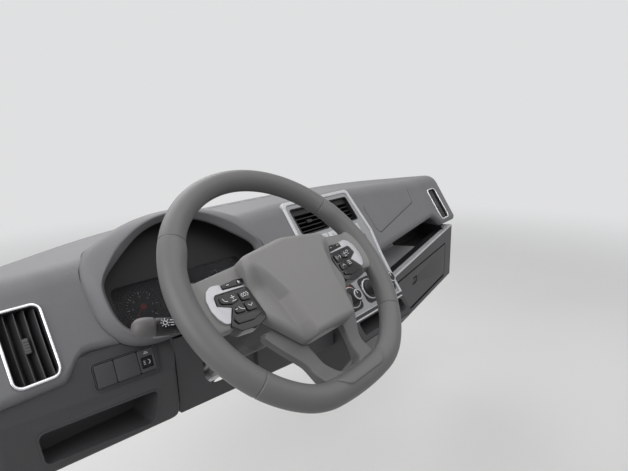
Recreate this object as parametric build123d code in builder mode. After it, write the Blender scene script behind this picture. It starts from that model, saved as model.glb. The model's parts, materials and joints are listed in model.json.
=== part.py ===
from build123d import *
import os
from math import atan2, cos, degrees, hypot, radians, sin, tan

os.makedirs("parts", exist_ok=True)

# Light truck dashboard with its steering wheel, in millimetres.
# X runs across the cab to the passenger, Y forward to the windscreen, Z up.
# The origin is the middle of the cross-car beam, in the plane of its end plates.

# Driving dimensions of the whole dashboard
half_width = 690
pod_inner_x = 588
centre_x = 125
face_z = 111
skin = 4
panel_wall = 3
windscreen_apex_y = 138
windscreen_end_y = -52

# Steering wheel and column
wheel_x = -356
wheel_y = -378
wheel_z = 185
wheel_lean = 44.1
rim_radius = 171
rim_tube = 16.5
column_length = 400

# Side vents
vent_x = 618
vent_width = 62
vent_height = 110
vent_corner = 14
vent_ring = 5

# Centre stack
stack_y = -128
stack_z = 217
stack_lean = 37.5

# Instrument hood
hood_x = -359
hood_y = -177
hood_lean = 32.4
hood_yaw = 4.5
hood_wall = 3

# Cross-car beam
beam_radius = 25
beam_wall = 2.5
beam_half = 680
plate_half_spacing_x = 668
plate_half_spacing_z = 35
bolt_hole_radius = 4.5


def leaning_plane(x, y, z, lean, yaw=0.0):
    """A face that looks into the cab, its top leaning forward and its right side drawn back by the yaw."""
    lean_angle = radians(lean)
    turn = radians(yaw)
    return Plane(
        origin=(x, y, z),
        x_dir=(cos(turn), -sin(turn), 0),
        z_dir=(-sin(turn) * cos(lean_angle), -cos(turn) * cos(lean_angle), sin(lean_angle)),
    )


def belt_y(x):
    """Distance of the belt line, the rearmost edge of the lower panels, swept back towards the middle."""
    return -153 - (half_width - abs(x)) * 0.155


def belt_z(x):
    """Height of the belt line, which falls towards the middle, a little more on the passenger's side."""
    end_z, fall = (23, 0.034) if x < 0 else (27, 0.051)
    return end_z - (half_width - abs(x)) * fall


wheel_plane = leaning_plane(wheel_x, wheel_y, wheel_z, wheel_lean)
stack_plane = leaning_plane(0, stack_y, stack_z, stack_lean)
hood_plane = leaning_plane(hood_x, hood_y, face_z, hood_lean, hood_yaw)


def save(builder, name):
    builder.part.label = name
    export_step(builder.part, f"parts/{name}.step")


# Upper pad: a skin that rolls from the rear face over the shoulder to the windscreen.
# Its lower edge climbs in a soft step from each end pod to the wing.
# station columns: x, rear face y at face_z, lean, shoulder z, bottom z
pad_stations = {
    "end": (half_width, -127, 32.4, 190, 44),
    "pod": (pod_inner_x, -133.3, 32.4, 191.5, 45),
    "rise": (579, -133.8, 32.4, 191.7, 52),
    "turn": (569, -134.5, 32.4, 192, 62),
    "crest": (558, -135.7, 32.4, 192.4, 69),
    "wing": (544, -137.7, 32.4, 193, 71),
    "centre": (centre_x, -209, 37.5, 224, 46),
}
bottom_roll = 14
shoulder_roll = 46
pad_front_y = 142
pad_front_z = 188
flange_front_y = -62


def pad_section(station, side, inset):
    """The closed section of the pad at one station; an inset gives the hollow inside the skin."""
    x, face_y, lean, shoulder, bottom = pad_stations[station]
    slope = tan(radians(lean))
    face_inset = inset / cos(radians(lean))
    bottom_z = bottom + inset
    shoulder_z = shoulder - inset
    front_y = pad_front_y + inset
    with BuildSketch(Plane.YZ.offset(side * x)) as section:
        with BuildLine():
            FilletPolyline(
                (face_y + face_inset + (bottom_z - face_z) * slope, bottom_z),
                (face_y + face_inset + (shoulder_z - face_z) * slope, shoulder_z),
                (front_y, pad_front_z - inset),
                (front_y, bottom_z),
                radius=[bottom_roll - inset, shoulder_roll - inset, 0, 0],
                close=True,
            )
        make_face()
    return section.sketch


def open_bottom_section(station, side, inset):
    """The opening in the underside of the pad, forward of its lower flange."""
    x, face_y, lean, shoulder, bottom = pad_stations[station]
    with BuildSketch(Plane.YZ.offset(side * x)) as section:
        with BuildLine():
            Polyline(
                (flange_front_y, bottom - 5),
                (flange_front_y, bottom + skin + 1),
                (pad_front_y + 10, bottom + skin + 1),
                (pad_front_y + 10, bottom - 5),
                close=True,
            )
        make_face()
    return section.sketch


def pad_solid(section_at, inset, width):
    """The pad's volume: two swept sides and the middle, each a straight loft."""
    with BuildPart() as solid:
        for side in (-1, 1):
            loft([section_at(name, side, inset) for name in pad_stations], ruled=True)
        loft([section_at("centre", side, inset) for side in (-1, 1)], ruled=True)
        Box(2 * width, 1200, 1200, mode=Mode.INTERSECT)
    return solid.part


pad_outer = pad_solid(pad_section, 0, half_width)
pad_inner = pad_solid(pad_section, skin, half_width - skin)
pad_opening = pad_solid(open_bottom_section, 0, half_width - skin)

# The dashboard's plan as seen from above: a bowed front edge along the windscreen
plan_margin = 10
plan_rear_y = -420
plan_left = (-half_width - plan_margin, windscreen_end_y)
plan_right = (half_width + plan_margin, windscreen_end_y)
with BuildPart() as windscreen_plan:
    with BuildSketch(Plane.XY.offset(-100)):
        with BuildLine():
            ThreePointArc(plan_left, (0, windscreen_apex_y), plan_right)
            Polyline(plan_right, (plan_right[0], plan_rear_y), (plan_left[0], plan_rear_y), plan_left)
        make_face()
    extrude(amount=400)

# Instrument hood: a flared ring round the cluster, its top running forward to the pad
# columns: distance forward of the ridge, half width, crown of the arch, foot of the arch,
# arch foot's distance from the side, side top, bottom
hood_sections = [
    (0, 157, 150, 116, 42, 66, -43),
    (18, 172, 161, 127, 26, 92, -45),
    (24, 174, 163, 129, 25, 94, -45),
    (120, 176, 180, 144, 30, 104, 0),
]
mouth_sections = [
    (0, 157, 150, 116, 42, 66, -43),
    (24, 167, 157, 118, 42, 68, -49),
]
hood_side_lean = 6
hood_radii = {"foot": 72, "side": 30, "shoulder": 44}
ring_width = 14


def hood_outline(plane, half, crown, arch_foot, arch_inset, side_top, bottom, inset=0.0):
    """A wide arch on straight sides with rounded lower corners."""
    foot_radius = min(hood_radii["foot"], 0.62 * (side_top - bottom)) - inset
    half = half - inset
    crown = crown - inset
    arch_foot = arch_foot - inset
    bottom = bottom + inset
    arch_half = half - arch_inset
    arch_angle = 2 * atan2(crown - arch_foot, arch_half)
    arch_tip = arch_foot + arch_half * tan(arch_angle)
    arch_radius = 0.99 * arch_half / sin(arch_angle)
    with BuildSketch(plane) as outline:
        with BuildLine():
            FilletPolyline(
                (-half + hood_side_lean, bottom),
                (half - hood_side_lean, bottom),
                (half, side_top),
                (arch_half, arch_foot),
                (0, arch_tip),
                (-arch_half, arch_foot),
                (-half, side_top),
                radius=[foot_radius] * 2
                + [hood_radii["side"] - inset, hood_radii["shoulder"] - inset, arch_radius * 0.8]
                + [hood_radii["shoulder"] - inset, hood_radii["side"] - inset],
                close=True,
            )
        make_face()
    return outline.sketch


hood_outlines = [hood_outline(hood_plane.offset(-row[0]), *row[1:]) for row in hood_sections]
hood_front_extension = hood_outline(hood_plane, *hood_sections[0][1:])

with BuildPart() as hood_outer:
    loft(hood_outlines, ruled=True)

# Centre stack: half width down the leaning face, measured from the top of the silver frame
# columns: half width, distance down the face
stack_outline_rows = [
    (116, 0),
    (124, 110),
    (110, 172),
    (101, 240),
    (96, 322),
]
stack_corner = 10
frame_top = 7
frame_width = 8


def stack_outline(plane, grow, bottom=None):
    """The shield outline of the stack on one plane, grown by a margin."""
    rows = [row for row in stack_outline_rows if bottom is None or row[1] < bottom]
    right = [(half + grow, frame_top + grow - down if down == 0 else -down) for half, down in rows]
    if bottom is not None:
        right.append((right[-1][0] - 2, -bottom))
    else:
        right[-1] = (right[-1][0], right[-1][1] - grow)
    left = [(-half, height) for half, height in reversed(right)]
    radii = [stack_corner] + [0] * (len(right) - 1) + [0] * (len(left) - 1) + [stack_corner]
    with BuildSketch(plane) as outline:
        with BuildLine():
            FilletPolyline(*right, *left, radius=radii, close=True)
        make_face()
    return outline.sketch


stack_depth = 120
stack_cut_depth = 34
below_pad_z = 40
stack_face = stack_outline(stack_plane, 0)
with BuildPart() as stack_block:
    extrude(stack_face, amount=stack_depth, dir=(0, 1, 0))
with BuildPart() as stack_cut:
    extrude(stack_face, amount=-stack_cut_depth)
    extrude(stack_face, amount=60)
with BuildPart() as stack_room:
    add(pad_inner)
    add(stack_cut.part)
    with Locations((0, -100, below_pad_z - 200)):
        Box(400, 800, 400)

# Side vent places, one on each pod, on the pod's own face
pod_slope = (pad_stations["end"][1] - pad_stations["pod"][1]) / (half_width - pod_inner_x)
pod_yaw = degrees(atan2(pod_slope, 1))
vent_y = pad_stations["pod"][1] + (vent_x - pod_inner_x) * pod_slope
vent_planes = [leaning_plane(side * vent_x, vent_y, face_z, 32.4, -side * pod_yaw) for side in (-1, 1)]

# Upper pad skin with its openings and the seam of the passenger air bag door
airbag_seam = [(148, 178), (150, 115), (440, 142), (452, 182)]
seam_width = 1.6
seam_depth = 1.6
demister_slot = (46, 7)
demister_pitch = 56
demister_y = 92

with BuildSketch(Plane.XZ.offset(60)) as seam_trace:
    with BuildLine():
        FilletPolyline(*airbag_seam, radius=16)
    trace(line_width=seam_width)
seam_core = pad_solid(pad_section, seam_depth, half_width)
with BuildPart() as seam_groove:
    extrude(seam_trace.sketch, amount=240)
    add(seam_core, mode=Mode.SUBTRACT)

# Room below the hood, between its sides, where the pad's lower edge stops
hood_room_left = -506
hood_room_right = -236
hood_room_bottom = 40
hood_room_top = 80
hood_room_rear_y = -245
hood_room_front_y = -55
with BuildSketch(Plane.XY.offset(hood_room_bottom)) as hood_room:
    with Locations(((hood_room_left + hood_room_right) / 2, (hood_room_rear_y + hood_room_front_y) / 2)):
        Rectangle(hood_room_right - hood_room_left, hood_room_front_y - hood_room_rear_y)

with BuildPart() as upper_pad:
    add(pad_outer)
    add(pad_inner, mode=Mode.SUBTRACT)
    add(pad_opening, mode=Mode.SUBTRACT)
    add(windscreen_plan.part, mode=Mode.INTERSECT)
    add(hood_outer.part, mode=Mode.SUBTRACT)
    extrude(hood_front_extension, amount=60, mode=Mode.SUBTRACT)
    extrude(hood_room.sketch, amount=hood_room_top - hood_room_bottom, mode=Mode.SUBTRACT)
    add(stack_cut.part, mode=Mode.SUBTRACT)
    add(seam_groove.part, mode=Mode.SUBTRACT)
    for plane in vent_planes:
        with BuildSketch(plane.offset(20)):
            RectangleRounded(vent_width - 4, vent_height - 4, vent_corner - 2)
        extrude(amount=-48, mode=Mode.SUBTRACT)
    with BuildSketch(Plane.XY.offset(170)):
        with Locations((0, demister_y)):
            with GridLocations(demister_pitch, 0, 5, 1):
                SlotOverall(*demister_slot)
    extrude(amount=60, mode=Mode.SUBTRACT)
save(upper_pad, "upper_pad")

# Instrument hood: a thin shell whose mouth is bevelled inwards to a narrow lip
bevel_depth = 12
lip_depth = 17


def hood_row(sections, depth):
    """The outline values at a depth between two sections of a table."""
    for near, far in zip(sections, sections[1:]):
        if near[0] <= depth <= far[0]:
            share = (depth - near[0]) / (far[0] - near[0])
            return [low + share * (high - low) for low, high in zip(near[1:], far[1:])]


def hood_cut(sections, depth, inset):
    """An outline at a depth, drawn in by an inset."""
    return hood_outline(hood_plane.offset(-depth), *hood_row(sections, depth), inset=inset)


hood_lip_face = hood_cut(mouth_sections, bevel_depth, ring_width)
hood_bevel = [hood_cut(mouth_sections, 0, 1.5), hood_lip_face]
hood_hollow_depths = (lip_depth, 18, 24, 120)
hood_hollow_faces = [hood_cut(hood_sections, depth, hood_wall) for depth in hood_hollow_depths]

with BuildPart() as hood_hollow:
    loft(hood_hollow_faces, ruled=True)

with BuildPart() as instrument_hood:
    add(hood_outer.part)
    loft(hood_bevel, ruled=True, mode=Mode.SUBTRACT)
    extrude(hood_lip_face, amount=-(lip_depth - bevel_depth), mode=Mode.SUBTRACT)
    add(hood_hollow.part, mode=Mode.SUBTRACT)
save(instrument_hood, "instrument_hood")

# Instrument cluster: mask plate and box with the dial rings, smoked lens
cluster_depth = 52
mask_thickness = 4
window_width = 254
window_height = 80
window_middle = 24
cluster_box_depth = 16
dial_half_pitch = 78
dial_radius = 34
dial_ring = 4
dial_rise = 5
middle_screen = (72, 56)

with BuildPart() as cluster_housing:
    with BuildSketch(hood_plane.offset(-cluster_depth)):
        Rectangle(500, 500)
    extrude(amount=-mask_thickness)
    add(hood_hollow.part, mode=Mode.INTERSECT)
    with BuildSketch(hood_plane.offset(-cluster_depth - mask_thickness)):
        with Locations((0, window_middle)):
            RectangleRounded(window_width + 6, window_height + 6, 15)
    extrude(amount=-cluster_box_depth)
    with BuildSketch(hood_plane.offset(-cluster_depth)):
        with Locations((0, window_middle)):
            RectangleRounded(window_width, window_height, 12)
    extrude(amount=-cluster_box_depth, mode=Mode.SUBTRACT)
    with BuildSketch(hood_plane.offset(-cluster_depth - cluster_box_depth)):
        with Locations((-dial_half_pitch, window_middle), (dial_half_pitch, window_middle)):
            Circle(dial_radius)
            Circle(dial_radius - dial_ring, mode=Mode.SUBTRACT)
        with Locations((0, window_middle)):
            RectangleRounded(*middle_screen, 6)
    extrude(amount=dial_rise)
    add(instrument_hood.part, mode=Mode.SUBTRACT)
save(cluster_housing, "cluster_housing")

with BuildPart() as cluster_lens:
    with BuildSketch(hood_plane.offset(-cluster_depth - 3)):
        with Locations((0, window_middle)):
            RectangleRounded(window_width, window_height, 12)
    extrude(amount=2.5)
save(cluster_lens, "cluster_lens")

# Side vents: a bright ring on the pod's face, a barrel behind it with upright vanes and a slider
vane_offsets = (-13, 0, 13)
vane_depths = (8, 22)
barrel_depth = 27

with BuildPart() as side_vent_rings:
    for plane in vent_planes:
        with BuildSketch(plane):
            RectangleRounded(vent_width, vent_height, vent_corner)
            RectangleRounded(vent_width - 2 * vent_ring, vent_height - 2 * vent_ring, 9, mode=Mode.SUBTRACT)
        extrude(amount=3)
    fillet(side_vent_rings.faces().filter_by(lambda face: face.normal_at().Z > 0.4).edges(), 1)
    add(pad_outer, mode=Mode.SUBTRACT)
save(side_vent_rings, "side_vent_rings")

with BuildPart() as side_vents:
    for plane in vent_planes:
        with BuildSketch(plane):
            RectangleRounded(vent_width - 4, vent_height - 4, vent_corner - 2)
            RectangleRounded(vent_width - 9, vent_height - 9, 8, mode=Mode.SUBTRACT)
        extrude(amount=-barrel_depth)
        with BuildSketch(plane.offset(-vane_depths[0])):
            for offset_x in vane_offsets:
                with Locations((offset_x, 0)):
                    Rectangle(2.2, vent_height - 8)
        extrude(amount=-(vane_depths[1] - vane_depths[0]))
        with BuildSketch(plane.offset(-3)):
            RectangleRounded(6, 20, 2)
        extrude(amount=-10)
save(side_vents, "side_vents")

# Centre stack: silver frame, face plate, vents, display, keys, heater dials and tray
# columns: lowest and highest distance down the face, left and right edge
vent_window = (10, 74, 9, 100)
key_row = (83, 101)
key_pitch = 29
key_width = 26
display_window = (112, 196, -90, 90)
dial_plate = (50, 58)
dial_row_down = 233
dial_pitch = 66
frame_bottom = 272
tray_window = (286, 314, -84, 84)
silver_line_down = 280
silver_line_size = (184, 3)


def window(down_from, down_to, left, right, corner, grow=0.0):
    """A rounded window on the stack, given by distances down the face."""
    with Locations(((left + right) / 2, -(down_from + down_to) / 2)):
        RectangleRounded(right - left + 2 * grow, down_to - down_from + 2 * grow, corner)


frame_outside = stack_outline(stack_plane.offset(-6), 0, frame_bottom)
frame_inside = stack_outline(stack_plane.offset(-6), -frame_width, frame_bottom - 3)
with BuildPart() as centre_frame:
    extrude(frame_outside, amount=9)
    extrude(frame_inside, amount=9, mode=Mode.SUBTRACT)
    chamfer(centre_frame.faces().sort_by(Axis((0, 0, 0), stack_plane.z_dir))[-1].edges(), 1.2)
    with BuildSketch(stack_plane):
        with Locations((0, -silver_line_down)):
            Rectangle(*silver_line_size)
    extrude(amount=2)
save(centre_frame, "centre_frame")

panel_face = stack_outline(stack_plane.offset(-4), -frame_width, frame_bottom - 3)
with BuildPart() as centre_panel:
    extrude(panel_face, amount=4)
    with BuildSketch(stack_plane):
        window(*vent_window, 6)
        window(vent_window[0], vent_window[1], -vent_window[3], -vent_window[2], 6)
        window(*display_window, 5)
        for index in range(6):
            left = (index - 3) * key_pitch + (key_pitch - key_width) / 2
            window(*key_row, left, left + key_width, 2)
        for index in (-1, 0, 1):
            with Locations((index * dial_pitch, -dial_row_down)):
                RectangleRounded(*dial_plate, 12)
    extrude(amount=-4, mode=Mode.SUBTRACT)
save(centre_panel, "centre_panel")

vent_size = (vent_window[3] - vent_window[2], vent_window[1] - vent_window[0])
vent_wall_depth = 46
louvre_rows = 5
louvre_top = 24
louvre_pitch = 10
louvre_thickness = 2
with BuildPart() as centre_vents:
    for side in (-1, 1):
        edges_x = sorted((side * vent_window[2], side * vent_window[3]))
        middle_x = sum(edges_x) / 2
        with BuildSketch(stack_plane.offset(1)) as vent_wall:
            window(vent_window[0], vent_window[1], *edges_x, 6)
            with Locations((middle_x, -(vent_window[0] + vent_window[1]) / 2)):
                RectangleRounded(vent_size[0] - 5, vent_size[1] - 5, 4, mode=Mode.SUBTRACT)
        extrude(vent_wall.sketch, amount=-vent_wall_depth)
        with BuildSketch(stack_plane.offset(-6)) as louvres:
            for row in range(louvre_rows):
                with Locations((middle_x, -louvre_top - row * louvre_pitch)):
                    Rectangle(vent_size[0] - 4, louvre_thickness)
            with Locations((middle_x, -(vent_window[0] + louvre_top) / 2)):
                Rectangle(vent_size[0] - 4, louvre_top - vent_window[0] - 2)
        extrude(louvres.sketch, amount=-16)
        with BuildSketch(stack_plane.offset(-3)) as slider:
            with Locations((middle_x, -louvre_top - 2 * louvre_pitch)):
                RectangleRounded(16, 7, 2)
        extrude(slider.sketch, amount=-10)
save(centre_vents, "centre_vents")

with BuildPart() as centre_display:
    with BuildSketch(stack_plane.offset(1.5)):
        window(*display_window, 5)
    extrude(amount=-26)
save(centre_display, "centre_display")

with BuildPart() as centre_keys:
    with BuildSketch(stack_plane.offset(2.5)):
        for index in range(6):
            left = (index - 3) * key_pitch + (key_pitch - key_width) / 2
            window(*key_row, left, left + key_width, 2)
    extrude(amount=-12)
save(centre_keys, "centre_keys")

with BuildPart() as heater_plates:
    with BuildSketch(stack_plane.offset(1)):
        for index in (-1, 0, 1):
            with Locations((index * dial_pitch, -dial_row_down)):
                RectangleRounded(*dial_plate, 12)
    extrude(amount=-12)
save(heater_plates, "heater_plates")

# dial profile columns: radius, height above the plate
dial_profile = [(0, 0), (18, 0), (18, 5), (15.5, 6.5), (14, 17), (12.5, 18.5), (0, 18.5)]
with BuildPart() as heater_dials:
    for index in (-1, 0, 1):
        dial_plane = Plane(
            origin=stack_plane.from_local_coords((index * dial_pitch, -dial_row_down, 1)),
            x_dir=stack_plane.x_dir,
            z_dir=-stack_plane.y_dir,
        )
        with BuildSketch(dial_plane):
            with BuildLine():
                Polyline(*dial_profile, close=True)
            make_face()
        revolve(axis=Axis(dial_plane.origin, stack_plane.z_dir))
save(heater_dials, "heater_dials")

tray_face = stack_outline(stack_plane.offset(-4), 0)
tray_depth = 55
with BuildPart() as stack_tray:
    extrude(tray_face, amount=4)
    with BuildSketch(stack_plane.offset(10)):
        with Locations((0, -frame_bottom / 2 + 20)):
            Rectangle(400, frame_bottom + 40)
    extrude(amount=-30, mode=Mode.SUBTRACT)
    with BuildSketch(stack_plane.offset(-4)) as tray_outside:
        window(*tray_window, 8, grow=2.5)
    extrude(tray_outside.sketch, amount=tray_depth, dir=(0, 1, 0))
    with BuildSketch(stack_plane.offset(2)) as tray_inside:
        window(*tray_window, 6)
    extrude(tray_inside.sketch, amount=tray_depth, dir=(0, 1, 0), mode=Mode.SUBTRACT)
save(stack_tray, "stack_tray")

housing_outside = stack_outline(stack_plane.offset(-6), 0)
housing_inside = stack_outline(stack_plane.offset(-6), -panel_wall)
with BuildPart() as centre_housing:
    extrude(housing_outside, amount=stack_depth - 12, dir=(0, 1, 0))
    extrude(housing_inside, amount=stack_depth - 12, dir=(0, 1, 0), mode=Mode.SUBTRACT)
    add(stack_room.part, mode=Mode.INTERSECT)
save(centre_housing, "centre_housing")

base_profile = [(-322, -42.2), (-236, -160), (-150, -160), (-212, -42.2)]
base_hollow = [(-316, -42), (-233, -157), (-140, -157), (-200, -30)]
base_half_width = 92
base_edge_radius = 6
with BuildPart() as stack_base:
    with BuildSketch(Plane.YZ):
        with BuildLine():
            Polyline(*base_profile, close=True)
        make_face()
    extrude(amount=base_half_width, both=True)
    with BuildSketch(Plane.YZ):
        with BuildLine():
            Polyline(*base_hollow, close=True)
        make_face()
    extrude(amount=base_half_width - panel_wall, both=True, mode=Mode.SUBTRACT)
    sloping_edges = stack_base.edges().filter_by(
        lambda edge: edge.center().Y < -270 and abs(edge.center().X) > base_half_width - 1
    )
    fillet(sloping_edges.filter_by(Axis.X, reverse=True), base_edge_radius)
save(stack_base, "stack_base")

# Lower panels, swept along the belt line
panel_front_y = -95
belt_round = 12
bottom_round = 8
bottom_return = 60


def pad_edge(x):
    """Where the pad's rear face would meet its underside at one x: y and z."""
    wing = pad_stations["wing"]
    centre = pad_stations["centre"]
    share = max(0.0, (wing[0] - abs(x)) / (wing[0] - centre[0]))
    face_y = wing[1] + share * (centre[1] - wing[1])
    bottom = wing[4] + share * (centre[4] - wing[4])
    return face_y + (bottom - face_z) * tan(radians(wing[2])), bottom


def lower_section(x, bottom_z, inset):
    """Section of a lower panel: band under the pad, rounded belt, upright face, short return."""
    edge_y = pad_edge(x)[0]
    top_y = max(edge_y + 20, belt_y(x) + 12) + inset
    face_y = belt_y(x) + inset
    low_z = bottom_z + inset
    if inset:
        front = [(panel_front_y + 40, low_z), (panel_front_y + 40, 96), (top_y, 96)]
    else:
        front = [
            (face_y + bottom_return, low_z),
            (panel_front_y, low_z + 20),
            (panel_front_y, 76),
            (top_y, 76),
        ]
    with BuildSketch(Plane.YZ.offset(x)) as section:
        with BuildLine():
            FilletPolyline(
                (top_y, 74),
                (face_y, belt_z(x)),
                (face_y, low_z),
                *front,
                radius=[0, belt_round - inset, bottom_round - inset] + [0] * len(front),
                close=True,
            )
        make_face()
    return section.sketch


def lower_shell(x_from, x_to, bottom_z, rooms=(None, None)):
    """Outer solid and open-fronted skin of a lower panel between two x stations, kept to its rooms."""
    bodies = []
    for inset, room in zip((0, panel_wall), rooms):
        with BuildPart() as body:
            loft([lower_section(x, bottom_z, inset) for x in (x_from + inset, x_to - inset)], ruled=True)
            if room:
                add(room, mode=Mode.INTERSECT)
        bodies.append(body.part)
    with BuildPart() as shell:
        add(bodies[0])
        add(bodies[1], mode=Mode.SUBTRACT)
    return bodies[0], shell.part


driver_bottom_z = -72
passenger_bottom_z = -146
panel_edge_x = -432
inner_edge_x = -284
stack_side_x = -97
door_corner = 22
knee_corner = 12
low_corner = 30
pocket_mouth = [(-635, -5), (-468, -8), (-480, -60), (-631, -53)]
pocket_corner = 9
pocket_front_y = -122
pocket_wall = 2.5
pocket_rim = 1.5
switch_frame = (96, 42)
switch_opening = (90, 36)
switch_middle = (-507.5, -172, 42)
switch_lean = 22
sweep_angle = degrees(atan2(0.155, 1))
switch_plane = leaning_plane(*switch_middle, switch_lean, sweep_angle)


def driver_room(inset):
    """The driver panel's room with its rounded corners, in plan and from the rear, drawn in by an inset."""
    left = -half_width + inset
    right = panel_edge_x - inset
    with BuildPart() as room:
        with BuildSketch(Plane.XY.offset(-200)):
            with BuildLine():
                FilletPolyline(
                    (left, 0),
                    (left, belt_y(left) + inset),
                    (right, belt_y(right) + inset),
                    (right, 0),
                    radius=[0, door_corner - inset, knee_corner - inset, 0],
                    close=True,
                )
            make_face()
        extrude(amount=400)
        with BuildSketch(Plane.XZ):
            with BuildLine():
                FilletPolyline(
                    (left, driver_bottom_z + inset),
                    (right, driver_bottom_z + inset),
                    (right, 150),
                    (left, 150),
                    radius=[low_corner / 2 - inset, low_corner - inset, 0, 0],
                    close=True,
                )
            make_face()
        extrude(amount=400, mode=Mode.INTERSECT)
    return room.part


def pocket_face(y, grow):
    """The pocket's outline in an upright plane."""
    with BuildSketch(Plane.XZ.offset(-y)) as face:
        with BuildLine():
            FilletPolyline(*pocket_mouth, radius=pocket_corner, close=True)
        make_face()
        if grow:
            offset(amount=grow)
    return face.sketch


driver_rooms = (driver_room(0), driver_room(panel_wall))
driver_solid, driver_shell = lower_shell(-half_width, panel_edge_x, driver_bottom_z, driver_rooms)
with BuildPart() as pocket_block:
    extrude(pocket_face(pocket_front_y, pocket_wall), amount=140)
    add(driver_solid.moved(Location((0, -pocket_rim, 0))), mode=Mode.INTERSECT)

with BuildPart() as lower_driver_panel:
    add(driver_shell)
    add(pocket_block.part)
    extrude(pocket_face(pocket_front_y - pocket_wall, 0), amount=140, mode=Mode.SUBTRACT)
    add(pad_outer, mode=Mode.SUBTRACT)
    with BuildSketch(switch_plane.offset(20)):
        RectangleRounded(*switch_frame, 8)
    extrude(amount=-45, mode=Mode.SUBTRACT)
    add(hood_outer.part, mode=Mode.SUBTRACT)
save(lower_driver_panel, "lower_driver_panel")

# switch keys columns: left edge, right edge
switch_keys = [(-44, -16), (-15, 19), (20, 44)]
key_height = 34
with BuildPart() as driver_switches:
    with BuildSketch(switch_plane.offset(1.5)):
        RectangleRounded(*switch_frame, 8)
        Rectangle(*switch_opening, mode=Mode.SUBTRACT)
    extrude(amount=-13.5)
    with BuildSketch(switch_plane.offset(-12)):
        RectangleRounded(switch_opening[0] + 2, switch_opening[1] + 2, 4)
    extrude(amount=-8)
    with BuildSketch(switch_plane.offset(2)):
        for left, right in switch_keys:
            with Locations(((left + right) / 2, 0)):
                Rectangle(right - left, key_height)
    extrude(amount=-14)
    add(hood_outer.part, mode=Mode.SUBTRACT)
save(driver_switches, "driver_switches")

# Inner panel with its knee panel, which closes the gap under the column and leaves a slot to tilt in
knee_setback = 8
knee_top_z = 61
slot_half = 30
slot_bottom_z = -45


def knee_section(x):
    """Face and lower return of the knee panel."""
    face_y = belt_y(x) + knee_setback
    with BuildSketch(Plane.YZ.offset(x)) as section:
        with BuildLine():
            Polyline(
                (face_y, knee_top_z),
                (face_y, driver_bottom_z),
                (face_y + 22, driver_bottom_z),
                (face_y + 22, driver_bottom_z + panel_wall),
                (face_y + panel_wall, driver_bottom_z + panel_wall),
                (face_y + panel_wall, knee_top_z),
                close=True,
            )
        make_face()
    return section.sketch


with BuildPart() as knee_panel:
    loft([knee_section(x) for x in (panel_edge_x, inner_edge_x)], ruled=True)
    with BuildSketch(Plane.XZ):
        with BuildLine():
            FilletPolyline(
                (wheel_x - slot_half, 160),
                (wheel_x - slot_half, slot_bottom_z),
                (wheel_x + slot_half, slot_bottom_z),
                (wheel_x + slot_half, 160),
                radius=[0, slot_half - 2, slot_half - 2, 0],
                close=True,
            )
        make_face()
    extrude(amount=400, mode=Mode.SUBTRACT)
inner_shell = lower_shell(inner_edge_x, stack_side_x, driver_bottom_z)[1]
with BuildPart() as lower_inner_panel:
    add(inner_shell)
    add(knee_panel.part)
    add(pad_outer, mode=Mode.SUBTRACT)
    add(hood_outer.part, mode=Mode.SUBTRACT)
    add(stack_block.part, mode=Mode.SUBTRACT)
    add(stack_cut.part, mode=Mode.SUBTRACT)
    add(centre_housing.part, mode=Mode.SUBTRACT)
save(lower_inner_panel, "lower_inner_panel")


# Passenger side: open shelf with its trimmed lip, panel round the glove box, bin and lid
shelf_drop = 26
shelf_front_y = -64
lip_width = 22
trim_width = 14
trim_height = 2
shelf_left_x = 100
shelf_end_x = 622


def shelf_section(x):
    """Lip, floor and front wall of the shelf as one bent strip."""
    lip_y, lip_z = belt_y(x) + panel_wall, belt_z(x)
    floor_z = lip_z - shelf_drop
    top_z = pad_edge(x)[1]
    with BuildSketch(Plane.YZ.offset(x)) as section:
        with BuildLine():
            Polyline(
                (lip_y, lip_z - 6),
                (lip_y, lip_z),
                (lip_y + lip_width, lip_z),
                (lip_y + lip_width + 4, floor_z),
                (shelf_front_y, floor_z),
                (shelf_front_y, top_z),
                (shelf_front_y + panel_wall, top_z),
                (shelf_front_y + panel_wall, floor_z - panel_wall),
                (lip_y + lip_width + 1, floor_z - panel_wall),
                (lip_y + lip_width - 3, lip_z - panel_wall),
                (lip_y + panel_wall, lip_z - panel_wall),
                (lip_y + panel_wall, lip_z - 6),
                close=True,
            )
        make_face()
    return section.sketch


def trim_section(x):
    """The light strip on the outer half of the lip."""
    trim_y, trim_z = belt_y(x), belt_z(x)
    with BuildSketch(Plane.YZ.offset(x)) as section:
        with BuildLine():
            Polyline(
                (trim_y, trim_z),
                (trim_y, trim_z + trim_height),
                (trim_y + trim_width, trim_z + trim_height),
                (trim_y + trim_width, trim_z),
                close=True,
            )
        make_face()
    return section.sketch


def passenger_section(x, wall):
    """Section of the panel round the glove box: upright face and bottom return."""
    top_z = belt_z(x) + 2 * wall
    front_y = panel_front_y + 2 * wall
    with BuildSketch(Plane.YZ.offset(x)) as section:
        with BuildLine():
            Polyline(
                (belt_y(x) + wall, top_z),
                (belt_y(x) + wall, passenger_bottom_z + wall),
                (front_y, passenger_bottom_z + wall),
                (front_y, top_z),
                close=True,
            )
        make_face()
    return section.sketch


shelf_stations = [shelf_section(x) for x in (shelf_left_x + panel_wall, half_width - panel_wall)]
with BuildPart() as passenger_shelf:
    loft(shelf_stations, ruled=True)
    for wall_x in (shelf_left_x + panel_wall, shelf_end_x):
        low_z = belt_z(wall_x) - shelf_drop - 1
        rear_y = belt_y(wall_x) + panel_wall + lip_width
        front_y = shelf_front_y + 1
        with BuildSketch(Plane.YZ.offset(wall_x)):
            with BuildLine():
                Polyline((rear_y, low_z), (rear_y, 64), (front_y, 64), (front_y, low_z), close=True)
            make_face()
        extrude(amount=panel_wall)
    add(pad_outer, mode=Mode.SUBTRACT)
    add(stack_block.part, mode=Mode.SUBTRACT)
    add(stack_cut.part, mode=Mode.SUBTRACT)
    add(centre_housing.part, mode=Mode.SUBTRACT)
save(passenger_shelf, "passenger_shelf")

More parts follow.
